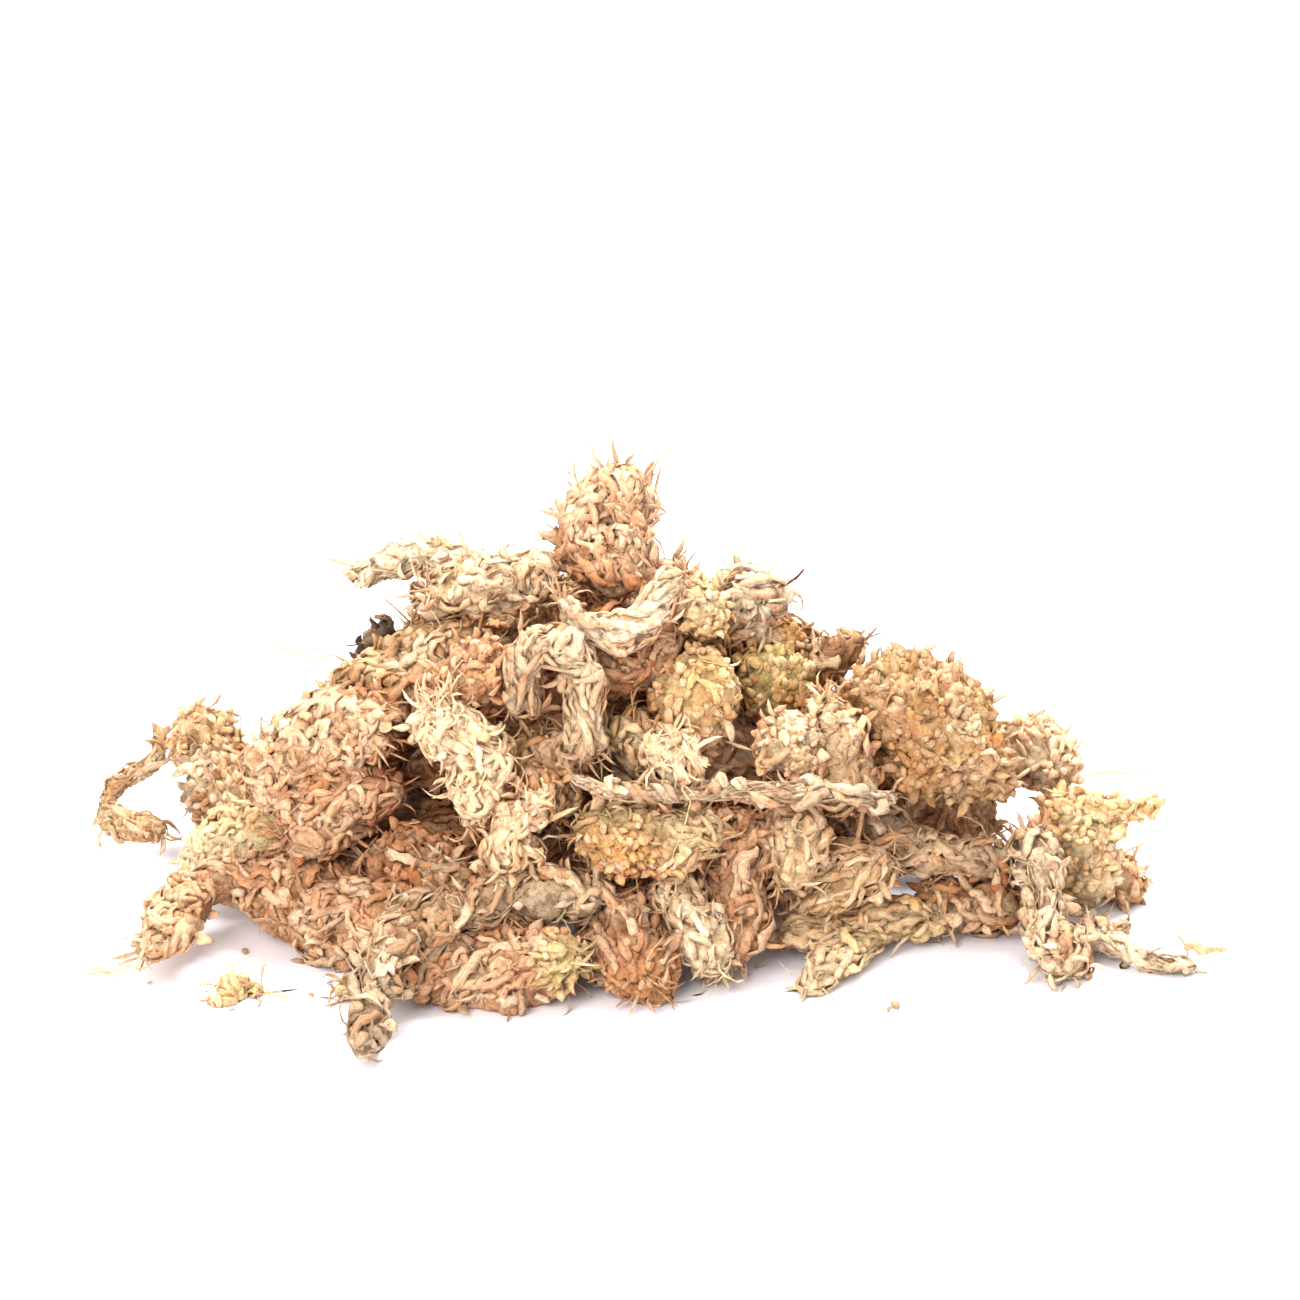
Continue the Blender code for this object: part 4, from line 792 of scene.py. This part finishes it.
class Pile:
    """Corners, faces and colours of the shapes that become one piece."""

    def __init__(self):
        self.corners = []
        self.faces = []
        self.tones = []
        self.lays = []
        self.materials = []
        self.size = 0

    def add(self, corners, faces, tones, lays, material):
        """Adds a mesh with its corners' tones, their places in the stripes' field and a material."""
        self.corners.append(corners)
        self.faces.append(faces + self.size)
        self.tones.append(tones)
        self.lays.append(lays)
        self.materials.append(np.full(len(faces), material, dtype=np.int32))
        self.size += len(corners)

    def add_bodies(self, spine, outward, widths, depths, sides, tones, rng, rough=LEAF_ROUGH):
        """Adds one lofted body for each middle line, crumpled a little, striped along and with painted
        shade at its root.
        """
        corners, along, around = lofted(spine, outward, widths, depths, sides, rng.uniform(0, math.pi))
        count, each = corners.shape[:2]
        corners = crumple(corners, LEAF_GRAIN, rough, LEAF_FIELD)
        length = np.linalg.norm(np.diff(spine, axis=1), axis=2).sum(axis=1)
        chance = rng.random(count) * STRIPE_CHANCE
        turn = 2 * math.pi * around
        lay = np.stack((np.outer(length, along) * STRIPE_RUN,
                        np.tile(STRIPE_TURN * np.sin(turn), (count, 1)) + chance[:, None],
                        np.tile(STRIPE_TURN * np.cos(turn), (count, 1))), axis=-1)
        # painted shade at each shape's root, growing lighter towards its tip
        tint = tones[:, None] * (ROOT_SHADE_TONE + TIP_LIGHT_GAIN * along)[None, :, None]
        faces = loft_faces(spine.shape[1], sides)
        every = (np.arange(count)[:, None, None] * each + faces[None]).reshape(-1, 3)
        self.add(corners.reshape(-1, 3), every, tint.reshape(-1, 3), lay.reshape(-1, 3), 0)

    def piece(self, name, materials):
        """The object made of all that was added."""
        corners = np.vstack(self.corners)
        corners[:, 2] = np.maximum(corners[:, 2], FLOOR_GAP)
        faces = np.vstack(self.faces)
        mesh = bpy.data.meshes.new(name)
        mesh.vertices.add(len(corners))
        mesh.vertices.foreach_set("co", (corners * MM).astype(np.float32).ravel())
        mesh.loops.add(faces.size)
        mesh.loops.foreach_set("vertex_index", faces.astype(np.int32).ravel())
        mesh.polygons.add(len(faces))
        mesh.polygons.foreach_set("loop_start", np.arange(0, faces.size, 3, dtype=np.int32))
        mesh.update(calc_edges=True)
        tone = mesh.color_attributes.new("tone", "FLOAT_COLOR", "POINT")
        full = np.ones((len(corners), 4), dtype=np.float32)
        full[:, :3] = np.vstack(self.tones)
        tone.data.foreach_set("color", full.ravel())
        lay = mesh.attributes.new("lay", "FLOAT_VECTOR", "POINT")
        lay.data.foreach_set("vector", np.vstack(self.lays).astype(np.float32).ravel())
        for material in materials:
            mesh.materials.append(material)
        mesh.polygons.foreach_set("material_index", np.concatenate(self.materials))
        mesh.shade_smooth()
        piece = bpy.data.objects.new(name, mesh)
        bpy.context.scene.collection.objects.link(piece)
        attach(piece, "root")
        return piece


def add_leaves(strand, kind, pile, ground, rng):
    """Covers the places of one kind on a strand."""
    mix, density = COVERS[kind]
    place, normal, along, free, _ = strand.scatter(density, rng)
    under = (normal[:, 2] < UNDERSIDE) & (place[:, 2] < UNDERSIDE_HEIGHT)
    keep = (strand.kinds_at(place) == kind) & (free > HIDDEN) & ~under
    place, normal, along, free = (values[keep] for values in (place, normal, along, free))
    tones = leaf_tones(patch_tones(strand, place), free, rng)
    chosen = rng.choice(len(mix), len(place), p=np.array(list(mix.values())))
    for index, shape in enumerate(mix):
        here = chosen == index
        if not np.any(here):
            continue
        spots = (place[here], normal[here], along[here])
        if shape in LAID:
            spines = laid_spines(ground, shape, *spots, rng)
            sides = LAID_SIDES
        else:
            spines = standing_spines(shape, *spots, rng)
            sides = STANDING_SIDES
        pile.add_bodies(*spines, sides, tones[here], rng)


def add_tips(strand, pile, rng):
    """Loose tips of leaves at the ends of a strand, which point away from its middle."""
    place, normal, along, free, ends = strand.scatter(FRAY_DENSITY, rng)
    keep = (np.abs(ends) > FRAY_START) & (free > HIDDEN)
    place, normal, along, free, ends = (values[keep] for values in (place, normal, along, free, ends))
    if len(place):
        away = along * -np.sign(ends)[:, None]
        tones = leaf_tones(patch_tones(strand, place), free, rng)
        spines = standing_spines("tip", place, normal, away, rng)
        pile.add_bodies(*spines, STANDING_SIDES, tones, rng)


def dress(strand, ground, materials, rng):
    """Builds the piece that replaces one node."""
    pile = Pile()
    pile.add(strand.places, strand.fine_faces, strand.body_tones(), strand.places * BODY_STRIPE, 1)
    kinds = strand.kinds_at(strand.places[strand.fine_faces[:, 0]])
    for kind in sorted(set(kinds)):
        add_leaves(strand, kind, pile, ground, rng)
    if strand.kind in FRAYED:
        add_tips(strand, pile, rng)
    piece = pile.piece(strand.name + "_moss", (materials[strand.kind], materials["body"]))
    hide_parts(strand.name)


def view_ways():
    """Place of the camera in millimetres, and its right, up and back directions."""
    rise = math.radians(CAMERA_ELEVATION)
    back = np.array((0.0, -math.cos(rise), math.sin(rise)))
    up = np.array((0.0, math.sin(rise), math.cos(rise)))
    return np.array(CAMERA_TARGET) + CAMERA_DISTANCE * back, np.array((1.0, 0.0, 0.0)), up, back


def pixel_way(pixel):
    """Direction from the camera through a pixel of the photograph."""
    _, right, up, back = view_ways()
    scale = VIEW_WIDTH / PICTURE_WIDTH / CAMERA_DISTANCE
    across = (pixel[0] - PICTURE_WIDTH / 2) * scale
    down = (pixel[1] - PICTURE_WIDTH / 2) * scale
    return unit(across * right - down * up - back)


def depths_of(heap, route):
    """How far from the camera the heap lies at each pixel; past its outline, as at the last hit."""
    eye = view_ways()[0]
    depths = np.full(len(route), np.nan)
    for index, pixel in enumerate(route):
        hit = heap.ray_cast(Vector(eye), Vector(pixel_way(pixel)))
        if hit[0] is not None:
            depths[index] = hit[3]
    met = np.flatnonzero(np.isfinite(depths))
    if len(met):
        depths = np.interp(np.arange(len(route)), met, depths[met])
    else:
        way = pixel_way(route[0])
        near = heap.find_nearest(Vector(eye + way * CAMERA_DISTANCE))[0]
        depths[:] = np.dot(np.array(near) - eye, way)
    window = 2 * STRAY_SPAN + 1
    return np.convolve(np.pad(depths, STRAY_SPAN, mode="edge"), np.ones(window) / window, mode="valid")


def stray_spine(heap, pixels, lift, steps):
    """Middle line through some pixels, laid on the heap, with the directions away from it."""
    eye = view_ways()[0]
    shares = np.linspace(0, len(pixels) - 1, steps)
    pixels = np.array(pixels, float)
    route = np.stack([np.interp(shares, np.arange(len(pixels)), pixels[:, k]) for k in range(2)], axis=1)
    depths = depths_of(heap, route)
    spine = np.array([eye + pixel_way(pixel) * (depth - lift) for pixel, depth in zip(route, depths)])
    spine[:, 2] = np.maximum(spine[:, 2], STRAY_LOWEST)
    return spine, np.tile(view_ways()[3], (steps, 1))


def add_strays(heap, material, rng):
    """Loose threads, leaves and twigs that lie on the heap."""
    pile = Pile()
    taper = half_wave(STRAY_ENDS, STRAY_STEPS) ** STRAY_ROUND
    for colour, radius, lift, pixels in STRAYS:
        spine, outward = stray_spine(heap, pixels, lift, STRAY_STEPS)
        widths = (2 * radius * taper * rng.uniform(*STRAY_SPREAD, STRAY_STEPS))[None]
        pile.add_bodies(spine[None], outward[None], widths, widths * STRAY_FLAT, BIT_SIDES,
                        np.array([colour]), rng, STRAY_ROUGH)
    piece = pile.piece("loose_threads", (material,))


def add_fallen_bits(material, rng):
    """Small bits of leaf on the ground round the heap."""
    pile = Pile()
    eye = view_ways()[0]
    outward = np.tile((0.0, 0.0, 1.0), (1, FALLEN_STEPS, 1))
    for pixel, length in FALLEN_BITS:
        way = pixel_way(pixel)
        place = eye - way * eye[2] / way[2]
        turn = rng.uniform(0, math.pi)
        ahead = np.array((math.cos(turn), math.sin(turn), 0.0))
        spine = place + np.linspace(-0.5, 0.5, FALLEN_STEPS)[:, None] * length * ahead
        spine[:, 2] = FALLEN_HEIGHT + FALLEN_ARCH * half_wave((0, 1), FALLEN_STEPS)
        widths = (FALLEN_WIDTH * length * half_wave(FALLEN_ENDS, FALLEN_STEPS))[None]
        tone = np.array([FALLEN_COLOUR]) * rng.uniform(*FALLEN_TONES)
        depths = widths * FALLEN_FLAT
        pile.add_bodies(spine[None], outward, widths, depths, BIT_SIDES, tone, rng, FALLEN_ROUGH)
    piece = pile.piece("fallen_bits", (material,))


def noise_node(tree, vector, scale, detail):
    """Noise texture read at given places."""
    texture = tree.nodes.new("ShaderNodeTexNoise")
    texture.inputs["Scale"].default_value = scale
    texture.inputs["Detail"].default_value = detail
    texture.inputs["Roughness"].default_value = FIELD_ROUGHNESS
    tree.links.new(vector, texture.inputs["Vector"])
    return texture


def ramp_node(tree, factor, ends, dark):
    """A dark colour that turns white over a range of a factor."""
    ramp = tree.nodes.new("ShaderNodeValToRGB")
    for element, position, colour in zip(ramp.color_ramp.elements, ends, (dark, WHITE)):
        element.position = position
        element.color = (*colour, 1)
    tree.links.new(factor, ramp.inputs["Fac"])
    return ramp


def multiply_node(tree, first, second, factor):
    """Product of two colours, by a share."""
    product = tree.nodes.new("ShaderNodeMix")
    product.data_type = "RGBA"
    product.blend_type = "MULTIPLY"
    product.inputs["Factor"].default_value = factor
    tree.links.new(first, product.inputs[MIX_COLOUR_A])
    tree.links.new(second, product.inputs[MIX_COLOUR_B])
    return product.outputs[MIX_COLOUR_OUT]


def moss_material(name, paper):
    """Papery leaf: each shape's own tone, striped along its lay, specked and finely wrinkled."""
    material = bpy.data.materials.new(name)
    material.use_nodes = True
    tree = material.node_tree
    shader = tree.nodes["Principled BSDF"]
    shader.inputs["Roughness"].default_value = paper.roughness
    shader.inputs["Specular IOR Level"].default_value = SHINE
    shader.inputs["Subsurface Weight"].default_value = paper.glow
    shader.inputs["Subsurface Radius"].default_value = GLOW_RADIUS
    shader.inputs["Subsurface Scale"].default_value = GLOW_SCALE
    tone = tree.nodes.new("ShaderNodeAttribute")
    tone.attribute_name = "tone"
    lay = tree.nodes.new("ShaderNodeAttribute")
    lay.attribute_name = "lay"
    place = tree.nodes.new("ShaderNodeTexCoord")
    stripes = noise_node(tree, lay.outputs["Vector"], paper.stripe, STRIPE_DETAIL)
    specks = noise_node(tree, place.outputs["Object"], paper.speck, SPECK_DETAIL)
    shade = ramp_node(tree, stripes.outputs["Fac"], STRIPE_RANGE, STRIPE_DARK)
    spots = ramp_node(tree, specks.outputs["Fac"], SPECK_RANGE, SPECK_DARK)
    colour = multiply_node(tree, tone.outputs["Color"], shade.outputs["Color"], STRIPE_SHARE)
    colour = multiply_node(tree, colour, spots.outputs["Color"], SPECK_SHARE)
    tree.links.new(colour, shader.inputs["Base Color"])
    fine = tree.nodes.new("ShaderNodeMath")
    fine.operation = "ADD"
    tree.links.new(stripes.outputs["Fac"], fine.inputs[0])
    tree.links.new(specks.outputs["Fac"], fine.inputs[1])
    relief = tree.nodes.new("ShaderNodeBump")
    relief.inputs["Strength"].default_value = paper.bump
    relief.inputs["Distance"].default_value = WRINKLE_DEPTH
    tree.links.new(fine.outputs[0], relief.inputs["Height"])
    tree.links.new(relief.outputs["Normal"], shader.inputs["Normal"])
    return material


def set_camera():
    """Camera at the photograph's viewing angle."""
    eye, _, _, back = view_ways()
    camera = bpy.data.objects.new("camera", bpy.data.cameras.new("camera"))
    camera.data.sensor_width = SENSOR_WIDTH
    camera.data.lens = SENSOR_WIDTH * CAMERA_DISTANCE / VIEW_WIDTH
    camera.data.clip_start = CAMERA_CLIP
    camera.location = Vector(eye) * MM
    camera.rotation_euler = Vector(-back).to_track_quat("-Z", "Y").to_euler()
    bpy.context.scene.collection.objects.link(camera)
    bpy.context.scene.camera = camera


def add_softbox(name, place, size, power, colour):
    """Round soft light that faces the heap."""
    light = bpy.data.lights.new(name, "AREA")
    light.shape = "DISK"
    light.size = size
    light.energy = power
    light.color = colour
    lamp = bpy.data.objects.new(name, light)
    lamp.location = place
    lamp.rotation_euler = (Vector(LIT_POINT) - Vector(place)).to_track_quat("-Z", "Y").to_euler()
    bpy.context.scene.collection.objects.link(lamp)


def set_lights():
    """Bright even surroundings, with one softbox behind and above and a weaker one in front."""
    world = bpy.data.worlds.new("studio")
    world.use_nodes = True
    world.node_tree.nodes["Background"].inputs["Color"].default_value = (*WHITE, 1.0)
    world.node_tree.nodes["Background"].inputs["Strength"].default_value = 1.0
    bpy.context.scene.world = world
    for name, softbox in SOFTBOXES.items():
        add_softbox(name, *softbox)
    bpy.context.scene.view_settings.view_transform = "Standard"


def add_floor():
    """Plain pale floor, which isn't part of the moss."""
    mesh = bpy.data.meshes.new("floor")
    corners = [(x * FLOOR_HALF, y * FLOOR_HALF, 0) for x, y in ((-1, -1), (1, -1), (1, 1), (-1, 1))]
    mesh.from_pydata(corners, [], [(0, 1, 2, 3)])
    floor = bpy.data.objects.new("floor", mesh)
    bpy.context.scene.collection.objects.link(floor)
    material = bpy.data.materials.new("pale_floor")
    material.use_nodes = True
    shader = material.node_tree.nodes["Principled BSDF"]
    shader.inputs["Base Color"].default_value = FLOOR_COLOUR
    shader.inputs["Roughness"].default_value = FLOOR_ROUGHNESS
    mesh.materials.append(material)


def strands_of_frame():
    """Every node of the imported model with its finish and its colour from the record."""
    record = frame["record"]
    colours = {m["slot"]: np.array(m["base_color"][:3]) for m in record["materials"]}
    slots = {part["node"]: part["material_slot"] for part in record["subparts"]}
    return [Strand(name, slots[name], colours[slots[name]]) for name in sorted(frame["nodes"])]


def main():
    """Sets the view, then dresses the strands one by one and adds what lies loose."""
    set_camera()
    set_lights()
    add_floor()
    rng = np.random.default_rng(SEED)
    materials = {kind: moss_material("moss_" + kind, paper) for kind, paper in PAPERS.items()}
    strands = strands_of_frame()
    heap = tree_of_heap([(strand.corners, strand.faces) for strand in strands])
    for strand in strands:
        strand.refine(heap, rng)
    ground = Ground(strands)
    for strand in strands:
        dress(strand, ground, materials, rng)
    add_strays(ground.tree, materials["curls"], rng)
    add_fallen_bits(materials["rope"], rng)


main()
